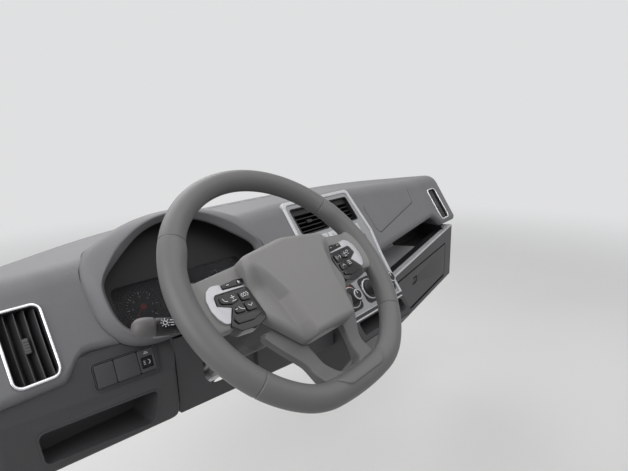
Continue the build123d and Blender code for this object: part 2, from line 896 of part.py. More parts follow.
trim_stations = [trim_section(x) for x in (shelf_left_x, half_width)]
with BuildPart() as shelf_trim:
    loft(trim_stations, ruled=True)
    add(pad_outer, mode=Mode.SUBTRACT)
    add(stack_block.part, mode=Mode.SUBTRACT)
    add(stack_cut.part, mode=Mode.SUBTRACT)
save(shelf_trim, "shelf_trim")

lid_x = 395
lid_middle_z = -76
lid_width = 450
lid_height = 106
lid_gap = 5
lid_thickness = 12
lid_skin = 3
pin_radius = 2.2
pin_bore = 2.5
bin_depth = 134
mouth_depth = 17
bin_wall = 2.5
bin_half = lid_width / 2 + lid_gap + 1
bin_bottom = -(lid_height / 2 + lid_gap + 1)
bin_mouth_top = -bin_bottom
bin_top = 41
handle_place = (-70, 21)
handle_size = (34, 22)

passenger_plane = Plane(
    origin=(lid_x, belt_y(lid_x), lid_middle_z),
    x_dir=(cos(radians(sweep_angle)), sin(radians(sweep_angle)), 0),
    z_dir=(sin(radians(sweep_angle)), -cos(radians(sweep_angle)), 0),
)
hinge_height = -lid_height / 2 + lid_thickness / 2
hinge_plane = Plane(
    origin=passenger_plane.from_local_coords((0, hinge_height, -lid_thickness / 2)),
    x_dir=passenger_plane.y_dir,
    z_dir=passenger_plane.x_dir,
)

passenger_outside = [passenger_section(x, 0) for x in (shelf_left_x, half_width)]
passenger_inside = [
    passenger_section(x, panel_wall) for x in (shelf_left_x + panel_wall, half_width - panel_wall)
]
with BuildPart() as lower_passenger_panel:
    loft(passenger_outside, ruled=True)
    loft(passenger_inside, ruled=True, mode=Mode.SUBTRACT)
    with BuildSketch(passenger_plane.offset(30)):
        RectangleRounded(lid_width + 2 * lid_gap, lid_height + 2 * lid_gap, 12)
    extrude(amount=-60, mode=Mode.SUBTRACT)
    add(stack_block.part, mode=Mode.SUBTRACT)
    add(stack_cut.part, mode=Mode.SUBTRACT)
    add(stack_base.part, mode=Mode.SUBTRACT)
save(lower_passenger_panel, "lower_passenger_panel")


def bin_box(near, far, low, high, half):
    """A box behind the passenger panel between two depths and two heights."""
    with BuildSketch(passenger_plane.offset(-near)) as outline:
        with Locations((0, (low + high) / 2)):
            Rectangle(2 * half, high - low)
    return extrude(outline.sketch, amount=-(far - near), mode=Mode.PRIVATE)


bin_outer_half = bin_half + bin_wall
bin_outer_bottom = bin_bottom - bin_wall
bin_outer_mouth_top = bin_mouth_top + bin_wall
with BuildPart() as glove_bin:
    add(bin_box(panel_wall, mouth_depth + bin_wall, bin_outer_bottom, bin_outer_mouth_top, bin_outer_half))
    add(bin_box(mouth_depth, bin_depth + bin_wall, bin_outer_bottom, bin_top + bin_wall, bin_outer_half))
    add(bin_box(0, mouth_depth, bin_bottom, bin_mouth_top, bin_half), mode=Mode.SUBTRACT)
    add(bin_box(mouth_depth - 1, bin_depth, bin_bottom, bin_top, bin_half), mode=Mode.SUBTRACT)
    with BuildSketch(hinge_plane):
        Circle(pin_bore)
    extrude(amount=lid_width, both=True, mode=Mode.SUBTRACT)
save(glove_bin, "glove_bin")

with BuildPart() as glove_lid:
    with BuildSketch(hinge_plane):
        Circle(lid_thickness / 2)
        with Locations(((lid_height - lid_thickness / 2) / 2, 0)):
            Rectangle(lid_height - lid_thickness / 2, lid_thickness)
    extrude(amount=lid_width / 2, both=True)
    with BuildSketch(passenger_plane.offset(-lid_skin)):
        with Locations((0, lid_thickness / 2)):
            Rectangle(lid_width - 6, lid_height - lid_thickness - 6)
    extrude(amount=-lid_thickness, mode=Mode.SUBTRACT)
    with BuildSketch(passenger_plane.offset(-1)):
        with Locations(handle_place):
            RectangleRounded(handle_size[0] + 5, handle_size[1] + 5, 5)
    extrude(amount=-(lid_thickness - 1))
    with BuildSketch(passenger_plane.offset(1)):
        with Locations(handle_place):
            RectangleRounded(*handle_size, 4)
    extrude(amount=-lid_thickness + 1, mode=Mode.SUBTRACT)
    with BuildSketch(hinge_plane):
        Circle(pin_radius)
    extrude(amount=bin_half + 2, both=True)
save(glove_lid, "glove_lid")

with BuildPart() as glove_catch:
    with BuildSketch(passenger_plane.offset(-1.5)):
        with Locations(handle_place):
            Rectangle(handle_size[0] - 2, 13)
    extrude(amount=-(lid_thickness - 3.5))
    with BuildSketch(passenger_plane.offset(-lid_thickness + 4)):
        with Locations((handle_place[0], handle_place[1] + 9)):
            Rectangle(12, 34)
    extrude(amount=-3)
    add(glove_lid.part, mode=Mode.SUBTRACT)
save(glove_catch, "glove_catch")

# Cross-car beam with end plates, posts to the pad and saddles for the air duct
plate_inner_x = 647
plate_height = 110
plate_thickness = 5
post_places = [(-600, 24), (-158, 16), (158, 16), (450, 24), (600, 24)]
post_y = 20
post_thickness = 4
saddle_places = (-520, -240, 240, 520)
duct_rear_y = -45
duct_front_y = 16
duct_low_z = 28
duct_high_z = 66
duct_wall = 2

with BuildPart() as cross_beam:
    with BuildSketch(Plane.YZ):
        Circle(beam_radius)
    extrude(amount=beam_half, both=True)
    with BuildSketch(Plane.XZ):
        for side in (-1, 1):
            with Locations((side * (plate_inner_x + half_width) / 2, 0)):
                RectangleRounded(half_width - plate_inner_x, plate_height, 10)
    extrude(amount=plate_thickness)
    for post_x, post_width in post_places:
        with BuildSketch(Plane.XZ.offset(-post_y)) as post:
            with Locations((post_x, 110)):
                Rectangle(post_width, 220)
        with BuildPart(mode=Mode.PRIVATE) as post_body:
            extrude(post.sketch, amount=-post_thickness)
            add(pad_inner, mode=Mode.INTERSECT)
        add(post_body.part)
    for saddle_x in saddle_places:
        with Locations((saddle_x, (duct_rear_y + duct_front_y) / 2 + 12, duct_low_z - 10)):
            Box(22, 30, 20)
    for post_x, post_width in post_places:
        with Locations((post_x, post_y + post_thickness / 2, 35)):
            Box(post_width, post_thickness, 70)
    with BuildSketch(Plane.YZ):
        Circle(beam_radius - beam_wall)
    extrude(amount=beam_half, both=True, mode=Mode.SUBTRACT)
    with BuildSketch(Plane.XZ):
        with GridLocations(2 * plate_half_spacing_x, 2 * plate_half_spacing_z, 2, 2):
            Circle(bolt_hole_radius)
    extrude(amount=plate_thickness, mode=Mode.SUBTRACT)
save(cross_beam, "cross_beam")

# Air ducts: a box along the beam, elbows to the vents, and the windscreen duct
elbow_outside = [
    (-135, 54),
    (-58, 52),
    (duct_rear_y, 28),
    (duct_front_y, 28),
    (duct_front_y, 66),
    (-50, 125),
    (-83, 140),
]
elbow_inside = [(-138, 56), (-58, 54), (-44, 30), (14, 30), (14, 65), (-52, 122), (-86, 138)]
riser_outside = [(-135, 132), (-99, 180), (-40, 150), (duct_front_y, 66), (duct_rear_y, 66)]
riser_inside = [(-136, 135), (-100, 178), (-42, 147), (13, 64), (-42, 64)]
elbow_span = (592, 644)
riser_half = 98

with BuildPart() as duct_run:
    with BuildSketch(Plane.YZ):
        with Locations(((duct_rear_y + duct_front_y) / 2, (duct_low_z + duct_high_z) / 2)):
            Rectangle(duct_front_y - duct_rear_y, duct_high_z - duct_low_z)
    extrude(amount=elbow_span[1], both=True)
    for side in (-1, 1):
        start = elbow_span[0] if side > 0 else -elbow_span[1]
        with BuildSketch(Plane.YZ.offset(start)):
            with BuildLine():
                Polyline(*elbow_outside, close=True)
            make_face()
        extrude(amount=elbow_span[1] - elbow_span[0])
    with BuildSketch(Plane.YZ):
        with BuildLine():
            Polyline(*riser_outside, close=True)
        make_face()
    extrude(amount=riser_half, both=True)
    with BuildSketch(Plane.YZ):
        with Locations(((duct_rear_y + duct_front_y) / 2, (duct_low_z + duct_high_z) / 2)):
            Rectangle(duct_front_y - duct_rear_y - 2 * duct_wall, duct_high_z - duct_low_z - 2 * duct_wall)
    extrude(amount=elbow_span[1] - duct_wall, both=True, mode=Mode.SUBTRACT)
    for side in (-1, 1):
        start = elbow_span[0] if side > 0 else -elbow_span[1]
        with BuildSketch(Plane.YZ.offset(start + duct_wall)):
            with BuildLine():
                Polyline(*elbow_inside, close=True)
            make_face()
        extrude(amount=elbow_span[1] - elbow_span[0] - 2 * duct_wall, mode=Mode.SUBTRACT)
    with BuildSketch(Plane.YZ):
        with BuildLine():
            Polyline(*riser_inside, close=True)
        make_face()
    extrude(amount=riser_half - duct_wall, both=True, mode=Mode.SUBTRACT)
    add(side_vents.part, mode=Mode.SUBTRACT)

demister_half = 138
demister_outside = [(84, 210), (100, 210), (100, 150), (10, 66), (-30, 66), (84, 164)]
demister_inside = [(86, 212), (98, 212), (98, 151), (8, 65), (-25, 65), (86, 163)]
with BuildPart() as demister_duct:
    with BuildSketch(Plane.YZ):
        with BuildLine():
            Polyline(*demister_outside, close=True)
        make_face()
    extrude(amount=demister_half, both=True)
    with BuildSketch(Plane.YZ):
        with BuildLine():
            Polyline(*demister_inside, close=True)
        make_face()
    extrude(amount=demister_half - duct_wall, both=True, mode=Mode.SUBTRACT)
    add(pad_inner, mode=Mode.INTERSECT)
    with BuildSketch(Plane.YZ):
        with BuildLine():
            Polyline(*riser_outside, close=True)
        make_face()
    extrude(amount=riser_half, both=True, mode=Mode.SUBTRACT)

with BuildPart() as main_duct:
    add(duct_run.part)
    add(demister_duct.part)
save(main_duct, "main_duct")

# Passenger air bag module on two legs from the beam
module_span = (190, 410)
leg_places = (210, 390)
with BuildPart() as airbag_module:
    with Locations(((module_span[0] + module_span[1]) / 2, -23, 126)):
        Box(module_span[1] - module_span[0], 94, 68)
    fillet(airbag_module.edges().filter_by(Axis.X), 8)
    for leg_x in leg_places:
        with Locations((leg_x, post_y + post_thickness / 2 + 0.5, 56)):
            Box(20, post_thickness, 92)
    with BuildSketch(Plane.YZ.offset(100)):
        Circle(beam_radius)
    extrude(amount=400, mode=Mode.SUBTRACT)
save(airbag_module, "airbag_module")

# Steering column bracket: two side plates from the beam to the tilt pivot and the clamp
pivot_plane = wheel_plane.offset(-column_length)
pivot_y = pivot_plane.origin.Y
pivot_z = pivot_plane.origin.Z
plate_gap = 38
plate_wall = 4
pivot_pin = 6
pivot_bore = 6.3
bracket_outline = [
    (30, 27.5),
    (-50, 27.5),
    (-70, 31),
    (-160, 32),
    (-182, 18),
    (-176, -30),
    (-115, -100),
    (pivot_y, pivot_z - 22),
    (-66, -104),
    (-58, -60),
    (0, -30),
    (30, -20),
]
with BuildPart() as column_bracket:
    for side in (-1, 1):
        start = wheel_x + (plate_gap if side > 0 else -plate_gap - plate_wall)
        with BuildSketch(Plane.YZ.offset(start)):
            with BuildLine():
                Polyline(*bracket_outline, close=True)
            make_face()
            with Locations((pivot_y, pivot_z)):
                Circle(pivot_bore, mode=Mode.SUBTRACT)
            Circle(beam_radius, mode=Mode.SUBTRACT)
            with Locations((-120, -30), (-95, -5)):
                Circle(11, mode=Mode.SUBTRACT)
        extrude(amount=plate_wall)
    with Locations((wheel_x, -18, -31)):
        Box(2 * plate_gap + 2, 60, 4)
    with BuildSketch(Plane.YZ):
        Circle(beam_radius)
    extrude(amount=beam_half, both=True, mode=Mode.SUBTRACT)
save(column_bracket, "column_bracket")

# Steering column: tube, shrouds, stalks, lock and tilt lever
tube_radius = 24
tube_bore = 18
clamp_span = (300, 332)
clamp_height = 52
tube_span = (95, 430)
shaft_radius = 11
bearing_bore = 11.4
bearing_length = 10
with BuildPart() as column_tube:
    with BuildSketch(wheel_plane.offset(-tube_span[1])):
        Circle(tube_radius)
    extrude(amount=tube_span[1] - tube_span[0])
    with BuildSketch(Plane.YZ.offset(wheel_x)):
        with Locations((pivot_y, pivot_z)):
            Circle(17)
    extrude(amount=plate_gap - 6, both=True)
    with BuildSketch(Plane.YZ.offset(wheel_x)):
        with Locations((pivot_y, pivot_z)):
            Circle(pivot_pin)
    extrude(amount=plate_gap + plate_wall, both=True)
    with BuildSketch(wheel_plane.offset(-clamp_span[1])):
        Rectangle(2 * (plate_gap - 7), clamp_height)
    extrude(amount=clamp_span[1] - clamp_span[0])
    with BuildSketch(wheel_plane.offset(-tube_span[1] + bearing_length)):
        Circle(tube_bore)
    extrude(amount=tube_span[1] - tube_span[0] - 2 * bearing_length, mode=Mode.SUBTRACT)
    with BuildSketch(wheel_plane.offset(-tube_span[1])):
        Circle(bearing_bore)
    extrude(amount=tube_span[1] - tube_span[0], mode=Mode.SUBTRACT)
save(column_tube, "column_tube")

# stalk knots columns: across, up the wheel plane, radius
stalk_forward = 80
stalk_knots = [
    (-34, -16, 7.5),
    (-120, 12, 7),
    (-128, 14.5, 10.5),
    (-168, 28, 10.5),
    (-172, 29.5, 7.5),
    (-197, 38, 8.5),
]


def stalk(side):
    """A stalk turned about its own slanted line, with a thicker rotary grip and an end cap."""
    start = stalk_knots[0]
    end = stalk_knots[-1]
    length = hypot(end[0] - start[0], end[1] - start[1])
    along = Vector(side * (end[0] - start[0]) / length, (end[1] - start[1]) / length, 0)
    origin = wheel_plane.from_local_coords((side * start[0], start[1], -stalk_forward))
    tip = wheel_plane.from_local_coords((side * start[0] + along.X, start[1] + along.Y, -stalk_forward))
    axis_dir = (tip - origin).normalized()
    across_dir = wheel_plane.z_dir.cross(axis_dir)
    stalk_plane = Plane(origin=origin, x_dir=wheel_plane.z_dir, z_dir=across_dir)
    points = [(0, 0)]
    for across, up, radius in stalk_knots:
        points.append((radius, hypot(across - start[0], up - start[1])))
    points.append((0, length))
    with BuildPart() as turned:
        with BuildSketch(stalk_plane):
            with BuildLine():
                Polyline(*points, close=True)
            make_face()
        revolve(axis=Axis(origin, axis_dir))
    return turned


left_stalk = stalk(1)
save(left_stalk, "left_stalk")
right_stalk = stalk(-1)
save(right_stalk, "right_stalk")

with BuildPart() as ignition_lock:
    lock_plane = Plane(
        origin=wheel_plane.from_local_coords((40, -22, -128)), x_dir=wheel_plane.z_dir, z_dir=(1, 0, 0)
    )
    with BuildSketch(lock_plane):
        Circle(17)
    extrude(amount=24)
    with BuildSketch(lock_plane.offset(24)):
        Circle(13)
    extrude(amount=3)
    with BuildSketch(lock_plane.offset(27)):
        SlotOverall(20, 7)
    extrude(amount=12)
save(ignition_lock, "ignition_lock")

# shroud stations columns: distance forward, half width, height of the top, depth of the bottom
shroud_stations = [(48, 46, 50, 50), (110, 50, 50, 52), (172, 44, 40, 40)]
shroud_wall = 2.5


def shroud_outline(row, inset):
    """Rounded outline round the column at one station."""
    forward, half, top, bottom = row
    with BuildSketch(wheel_plane.offset(-forward)) as outline:
        with Locations((0, (top - bottom) / 2)):
            RectangleRounded(2 * (half - inset), top + bottom - 2 * inset, 24 - inset)
    return outline.sketch


with BuildPart() as shroud_body:
    loft([shroud_outline(row, 0) for row in shroud_stations], ruled=True)
    inner_rows = [(51, *shroud_stations[0][1:]), shroud_stations[1], (169, *shroud_stations[2][1:])]
    loft([shroud_outline(row, shroud_wall) for row in inner_rows], ruled=True, mode=Mode.SUBTRACT)
    with BuildSketch(wheel_plane.offset(-80)):
        Circle(20)
    extrude(amount=60, mode=Mode.SUBTRACT)
    with BuildSketch(wheel_plane.offset(-180)):
        Circle(tube_radius)
    extrude(amount=60, mode=Mode.SUBTRACT)
    add(left_stalk.part, mode=Mode.SUBTRACT)
    add(right_stalk.part, mode=Mode.SUBTRACT)
    add(ignition_lock.part, mode=Mode.SUBTRACT)

shroud_split = -6
with BuildPart() as upper_shroud:
    add(shroud_body.part)
    with BuildSketch(wheel_plane):
        with Locations((0, -100 + shroud_split)):
            Rectangle(200, 200)
    extrude(amount=-300, mode=Mode.SUBTRACT)
save(upper_shroud, "upper_shroud")

with BuildPart() as lower_shroud:
    add(shroud_body.part)
    with BuildSketch(wheel_plane):
        with Locations((0, 100 + shroud_split)):
            Rectangle(200, 200)
    extrude(amount=-300, mode=Mode.SUBTRACT)
save(lower_shroud, "lower_shroud")

# lever outline, seen from the side: distance forward, height
lever_points = [(236, -6), (216, -6), (176, -58), (150, -64), (150, -78), (186, -76), (236, -24)]
lever_side = -36
lever_thickness = 5
lever_pin = (226, -15)
lever_pin_length = 17
grip_middle = (162, -71)
grip_size = (44, 14, 18)
with BuildPart() as tilt_lever:
    lever_plane = Plane(
        origin=wheel_plane.from_local_coords((lever_side, 0, 0)), x_dir=-wheel_plane.z_dir, z_dir=(1, 0, 0)
    )
    with BuildSketch(lever_plane):
        with BuildLine():
            Polyline(*lever_points, close=True)
        make_face()
    extrude(amount=lever_thickness)
    with Locations(lever_plane * Location((*grip_middle, lever_thickness / 2))):
        Box(*grip_size)
    with BuildSketch(lever_plane):
        with Locations(lever_pin):
            Circle(5)
    extrude(amount=lever_pin_length)
    add(column_tube.part, mode=Mode.SUBTRACT)
save(tilt_lever, "tilt_lever")

# Steering wheel
shaft_span = (12, 480)
with BuildPart() as steering_shaft:
    with BuildSketch(wheel_plane.offset(-shaft_span[1])):
        Circle(shaft_radius)
    extrude(amount=shaft_span[1] - shaft_span[0])
save(steering_shaft, "steering_shaft")

blend_radius = 100
blend_centre = (38.5, -59.7)
flat_radius = 420
flat_centre_up = 258


def toward(centre, target, distance):
    """The point at a distance from a centre in the direction of a target."""
    reach = hypot(target[0] - centre[0], target[1] - centre[1])
    return (
        centre[0] + (target[0] - centre[0]) * distance / reach,
        centre[1] + (target[1] - centre[1]) * distance / reach,
    )


side_joint = toward((0, 0), blend_centre, rim_radius)
flat_joint = toward((0, flat_centre_up), blend_centre, flat_radius)
joint_middle = ((side_joint[0] + flat_joint[0]) / 2, (side_joint[1] + flat_joint[1]) / 2)
blend_middle = toward(blend_centre, joint_middle, blend_radius)
flat_middle = (0, flat_centre_up - flat_radius)


def mirrored(point):
    """The same point on the wheel's other side."""
    return (-point[0], point[1])


# rim arc columns: start, middle, end, centre of the arc
rim_arcs = [
    (side_joint, (0, rim_radius), mirrored(side_joint), (0, 0)),
    (mirrored(side_joint), mirrored(blend_middle), mirrored(flat_joint), mirrored(blend_centre)),
    (mirrored(flat_joint), flat_middle, flat_joint, (0, flat_centre_up)),
    (flat_joint, blend_middle, side_joint, blend_centre),
]
with BuildPart() as wheel_rim:
    for start, middle, end, centre in rim_arcs:
        with BuildLine(wheel_plane) as rim_line:
            ThreePointArc(start, middle, end)
        heading = wheel_plane.x_dir * (centre[1] - start[1]) + wheel_plane.y_dir * (start[0] - centre[0])
        rim_start = wheel_plane.from_local_coords((*start, 0))
        with BuildSketch(Plane(origin=rim_start, x_dir=wheel_plane.z_dir, z_dir=heading)):
            Circle(rim_tube)
        sweep(path=rim_line.edges()[0])
save(wheel_rim, "wheel_rim")

arm_low = -22
arm_high = -14
with BuildPart() as wheel_armature:
    with BuildSketch(wheel_plane.offset(arm_low)):
        Circle(42)
        Rectangle(350, 26)
        with Locations((0, 0)):
            Circle(shaft_radius, mode=Mode.SUBTRACT)
    extrude(amount=arm_high - arm_low)
    with BuildSketch(wheel_plane.offset(-38)):
        Circle(17)
        Circle(shaft_radius, mode=Mode.SUBTRACT)
    extrude(amount=20)
    add(wheel_rim.part, mode=Mode.SUBTRACT)
    with BuildSketch(wheel_plane.offset(arm_low)):
        Rectangle(400, 400)
        Circle(rim_radius, mode=Mode.SUBTRACT)
    extrude(amount=20, mode=Mode.SUBTRACT)
save(wheel_armature, "wheel_armature")

# cover outline columns: across, up, corner radius
cover_base = [
    (-82, 42, 12),
    (0, 52, 60),
    (82, 42, 12),
    (86, -36, 24),
    (44, -90, 14),
    (-44, -90, 14),
    (-86, -36, 24),
]
cover_top = [
    (-66, 32, 8),
    (0, 42, 60),
    (66, 32, 8),
    (46, -40, 30),
    (38, -82, 8),
    (-38, -82, 8),
    (-46, -40, 30),
]
cover_levels = (-8, 5, 27)
cover_wall = 3
cover_middle_up = -22


def cover_outline(rows, height, inset):
    """An outline of the hub cover, shrunk towards its middle by an inset."""
    shrink = 1 - inset / 60
    points = [(row[0] * shrink, cover_middle_up + (row[1] - cover_middle_up) * shrink) for row in rows]
    with BuildSketch(wheel_plane.offset(height)) as outline:
        with BuildLine():
            FilletPolyline(*points, radius=[row[2] * shrink for row in rows], close=True)
        make_face()
    return outline.sketch


def cover_body(wall):
    """The hub cover's volume: an upright skirt and a raised middle on it, drawn in by a wall."""
    skirt_bottom = cover_outline(cover_base, cover_levels[0], wall)
    skirt_top = cover_outline(cover_base, cover_levels[1], wall)
    middle_top = cover_outline(cover_top, cover_levels[2] - wall, wall)
    with BuildPart() as body:
        loft([skirt_bottom, skirt_top, middle_top], ruled=True)
    return body.part


cover_solid = cover_body(0)
with BuildPart() as airbag_cover:
    add(cover_solid)
    add(cover_body(cover_wall), mode=Mode.SUBTRACT)
save(airbag_cover, "airbag_cover")


def mirror_points(points, side):
    """Points of the left spoke, mirrored for the right one."""
    return [(-side * across, up) for across, up in points]


spoke_outline = [(-162, 34), (-70, 43), (-70, -40), (-152, -32)]
spoke_levels = (arm_high, 4)
with BuildPart() as spoke_covers:
    for side in (-1, 1):
        with BuildSketch(wheel_plane.offset(spoke_levels[0])):
            with BuildLine():
                FilletPolyline(*mirror_points(spoke_outline, side), radius=3, close=True)
            make_face()
        extrude(amount=spoke_levels[1] - spoke_levels[0])
    add(cover_solid, mode=Mode.SUBTRACT)
    add(wheel_rim.part, mode=Mode.SUBTRACT)
save(spoke_covers, "spoke_covers")

pod_outline = [(-118, 22), (-70, 22), (-70, -22), (-135, -20)]
with BuildPart() as switch_pods:
    for side in (-1, 1):
        with BuildSketch(wheel_plane.offset(spoke_levels[1])):
            with BuildLine():
                FilletPolyline(*mirror_points(pod_outline, side), radius=3, close=True)
            make_face()
        extrude(amount=4)
    add(cover_solid, mode=Mode.SUBTRACT)
save(switch_pods, "switch_pods")

bezel_outline = [(-140, 27), (-72, 27), (-72, -26), (-150, -26)]
with BuildPart() as pod_bezels:
    for side in (-1, 1):
        with BuildSketch(wheel_plane.offset(spoke_levels[1])):
            with BuildLine():
                FilletPolyline(*mirror_points(bezel_outline, side), radius=3, close=True)
            make_face()
        extrude(amount=2.5)
    add(cover_solid, mode=Mode.SUBTRACT)
    add(switch_pods.part, mode=Mode.SUBTRACT)
    add(wheel_rim.part, mode=Mode.SUBTRACT)
save(pod_bezels, "pod_bezels")

trim_outside = [(-60, -78), (60, -78), (45, -158), (-45, -158)]
trim_opening = [(-33, -92), (33, -92), (21, -140), (-21, -140)]
trim_arms = [(-95, -60), (95, -60), (60, -100), (-60, -100)]
trim_levels = (-20, -9)
with BuildPart() as lower_spoke_trim:
    with BuildSketch(wheel_plane.offset(trim_levels[0])):
        with BuildLine():
            Polyline(*trim_outside, close=True)
        make_face()
        with BuildLine():
            Polyline(*trim_arms, close=True)
        make_face()
        with Locations((0, -30)):
            Rectangle(40, 70)
        with BuildSketch(mode=Mode.PRIVATE) as opening:
            with BuildLine():
                FilletPolyline(*trim_opening, radius=6, close=True)
            make_face()
        add(opening.sketch, mode=Mode.SUBTRACT)
    extrude(amount=trim_levels[1] - trim_levels[0])
    add(wheel_rim.part, mode=Mode.SUBTRACT)
    add(wheel_armature.part, mode=Mode.SUBTRACT)
    add(steering_shaft.part, mode=Mode.SUBTRACT)
save(lower_spoke_trim, "lower_spoke_trim")

with BuildPart() as wheel_back_cover:
    with BuildSketch(wheel_plane.offset(-42)):
        Circle(44)
    extrude(amount=20, taper=-12)
    with BuildSketch(wheel_plane.offset(-39.5)):
        Circle(41.5)
    extrude(amount=20, taper=-12, mode=Mode.SUBTRACT)
    with BuildSketch(wheel_plane.offset(-45)):
        Circle(19)
    extrude(amount=30, mode=Mode.SUBTRACT)
save(wheel_back_cover, "wheel_back_cover")
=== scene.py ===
# %% [markdown]
# # A light truck's dashboard and steering wheel, dressed in Blender
#
# The rigid model comes from the packed CAD parts. This lesson gives each part its finish and swaps
# the parts that need softer shapes, such as the rim and the hub pad, for surfaces worked out with
# numpy. Everything is in metres, in the frame of the CAD model: X across the cab, Y forward, Z up.

# %% Load the frame and keep its size
import json
from math import atan2, cos, radians, sin

import bmesh
import bpy
import numpy as np
from mathutils import Matrix, Vector


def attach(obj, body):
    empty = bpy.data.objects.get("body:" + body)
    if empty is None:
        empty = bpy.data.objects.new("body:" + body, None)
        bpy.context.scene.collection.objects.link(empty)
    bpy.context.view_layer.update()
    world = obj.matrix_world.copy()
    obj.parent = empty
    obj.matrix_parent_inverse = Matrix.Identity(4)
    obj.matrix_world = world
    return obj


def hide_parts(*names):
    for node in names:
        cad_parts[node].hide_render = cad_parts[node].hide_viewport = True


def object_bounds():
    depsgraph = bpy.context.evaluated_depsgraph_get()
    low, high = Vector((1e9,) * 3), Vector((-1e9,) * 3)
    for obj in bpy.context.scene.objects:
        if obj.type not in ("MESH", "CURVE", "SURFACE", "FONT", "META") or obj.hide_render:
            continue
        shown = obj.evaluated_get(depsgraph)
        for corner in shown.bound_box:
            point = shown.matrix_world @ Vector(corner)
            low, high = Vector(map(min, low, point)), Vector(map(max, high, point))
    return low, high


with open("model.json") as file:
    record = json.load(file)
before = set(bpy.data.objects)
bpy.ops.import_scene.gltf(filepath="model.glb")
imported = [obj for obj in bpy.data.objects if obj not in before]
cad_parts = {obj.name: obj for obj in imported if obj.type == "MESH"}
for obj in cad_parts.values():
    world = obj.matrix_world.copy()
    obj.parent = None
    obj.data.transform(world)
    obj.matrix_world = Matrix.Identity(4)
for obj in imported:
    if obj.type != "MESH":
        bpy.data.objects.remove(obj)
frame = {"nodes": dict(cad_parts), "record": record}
cad_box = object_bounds()

# %% [markdown]
# ## The camera
#
# The photograph was taken from behind the wheel and to the left of it, looking down and across to
# the passenger's side. The camera's place and its three turns were solved from the wheel, the vents
# and the belt line, so they are plain numbers here. The axes of a camera are right, up and
# backwards, and they become the columns of its matrix.

# %% Place the camera at the photograph's view
CAMERA_PLACE = Vector((-0.8053, -0.7982, 0.3970))
CAMERA_HEADING = radians(49.8)
CAMERA_DOWN = radians(14.19)
CAMERA_ROLL = radians(-1.57)
FOCAL_LENGTH_MM = 26.82
SENSOR_WIDTH_MM = 36.0


def camera_axes(heading, down, roll):
    """Right, up and back directions of a camera turned to the right, tipped down and rolled."""
    ahead = Vector((sin(heading) * cos(down), cos(heading) * cos(down), -sin(down)))
    right = Vector((cos(heading), -sin(heading), 0.0))
    up = right.cross(ahead)
    rolled_right = cos(roll) * right + sin(roll) * up
    rolled_up = -sin(roll) * right + cos(roll) * up
    return rolled_right, rolled_up, -ahead


camera_data = bpy.data.cameras.new("camera")
camera_data.lens = FOCAL_LENGTH_MM
camera_data.sensor_width = SENSOR_WIDTH_MM
camera_data.clip_start = 0.01
camera = bpy.data.objects.new("camera", camera_data)
bpy.context.scene.collection.objects.link(camera)
axes = camera_axes(CAMERA_HEADING, CAMERA_DOWN, CAMERA_ROLL)
camera.matrix_world = Matrix.Translation(CAMERA_PLACE) @ Matrix(axes).transposed().to_4x4()
bpy.context.scene.camera = camera
print("camera looks along", [round(value, 3) for value in -axes[2]])

# %% [markdown]
# ## A small language for shader maths
#
# Node trees are easier to read as expressions. `Wire` wraps one socket, and adding or multiplying
# two wires adds the Math node that does it. `NodeTree` makes any other node from its type, its
# settings and the values or wires of its sockets, and a `Finish` is the tree of one material.

# %% A wire in a node tree


class Wire:
    """One value in a node tree; arithmetic on it adds Math nodes."""

    def __init__(self, owner, socket):
        self.owner = owner
        self.socket = socket

    def math(self, operation, other):
        """A Math node of that operation on this wire and another, or a number."""
        return self.owner.node("ShaderNodeMath", {"operation": operation}, {0: self, 1: other})

    def __add__(self, other):
        return self.math("ADD", other)

    __radd__ = __add__

    def __mul__(self, other):
        return self.math("MULTIPLY", other)

    __rmul__ = __mul__

    def maximum(self, other):
        return self.math("MAXIMUM", other)

    def power(self, exponent):
        return self.math("POWER", exponent)

    def fade(self, low, high):
        """0 at the low value rising smoothly to 1 at the high value."""
        return self.owner.node(
            "ShaderNodeMapRange",
            {"interpolation_type": "SMOOTHSTEP"},
            {"Value": self, "From Min": low, "From Max": high, "To Min": 0.0, "To Max": 1.0},
        )


print("a wire knows:", sorted(name for name in vars(Wire) if not name.startswith("__")))

# %% A tree that makes any node


class NodeTree:
    """A node tree and the one method that adds nodes to it."""

    def __init__(self, tree):
        self.tree = tree

    def node(self, node_type, settings=None, values=None, output=0):
        """Adds a node, sets its settings first and then its sockets, and returns one output's wire."""
        new = self.tree.nodes.new(node_type)
        for setting, value in (settings or {}).items():
            setattr(new, setting, value)
        for socket, value in (values or {}).items():
            if isinstance(value, Wire):
                self.tree.links.new(value.socket, new.inputs[socket])
            elif new.inputs[socket].type == "RGBA":
                new.inputs[socket].default_value = (*value, 1.0)
            else:
                new.inputs[socket].default_value = value
        return Wire(self, new.outputs[output])

    def output_of(self, node_name):
        """The first output of a node that the tree has from the start."""
        return Wire(self, self.tree.nodes[node_name].outputs[0])

    def show(self, surface, output_name):
        """Links a shader to the tree's own output node."""
        self.tree.links.new(surface.socket, self.tree.nodes[output_name].inputs["Surface"])


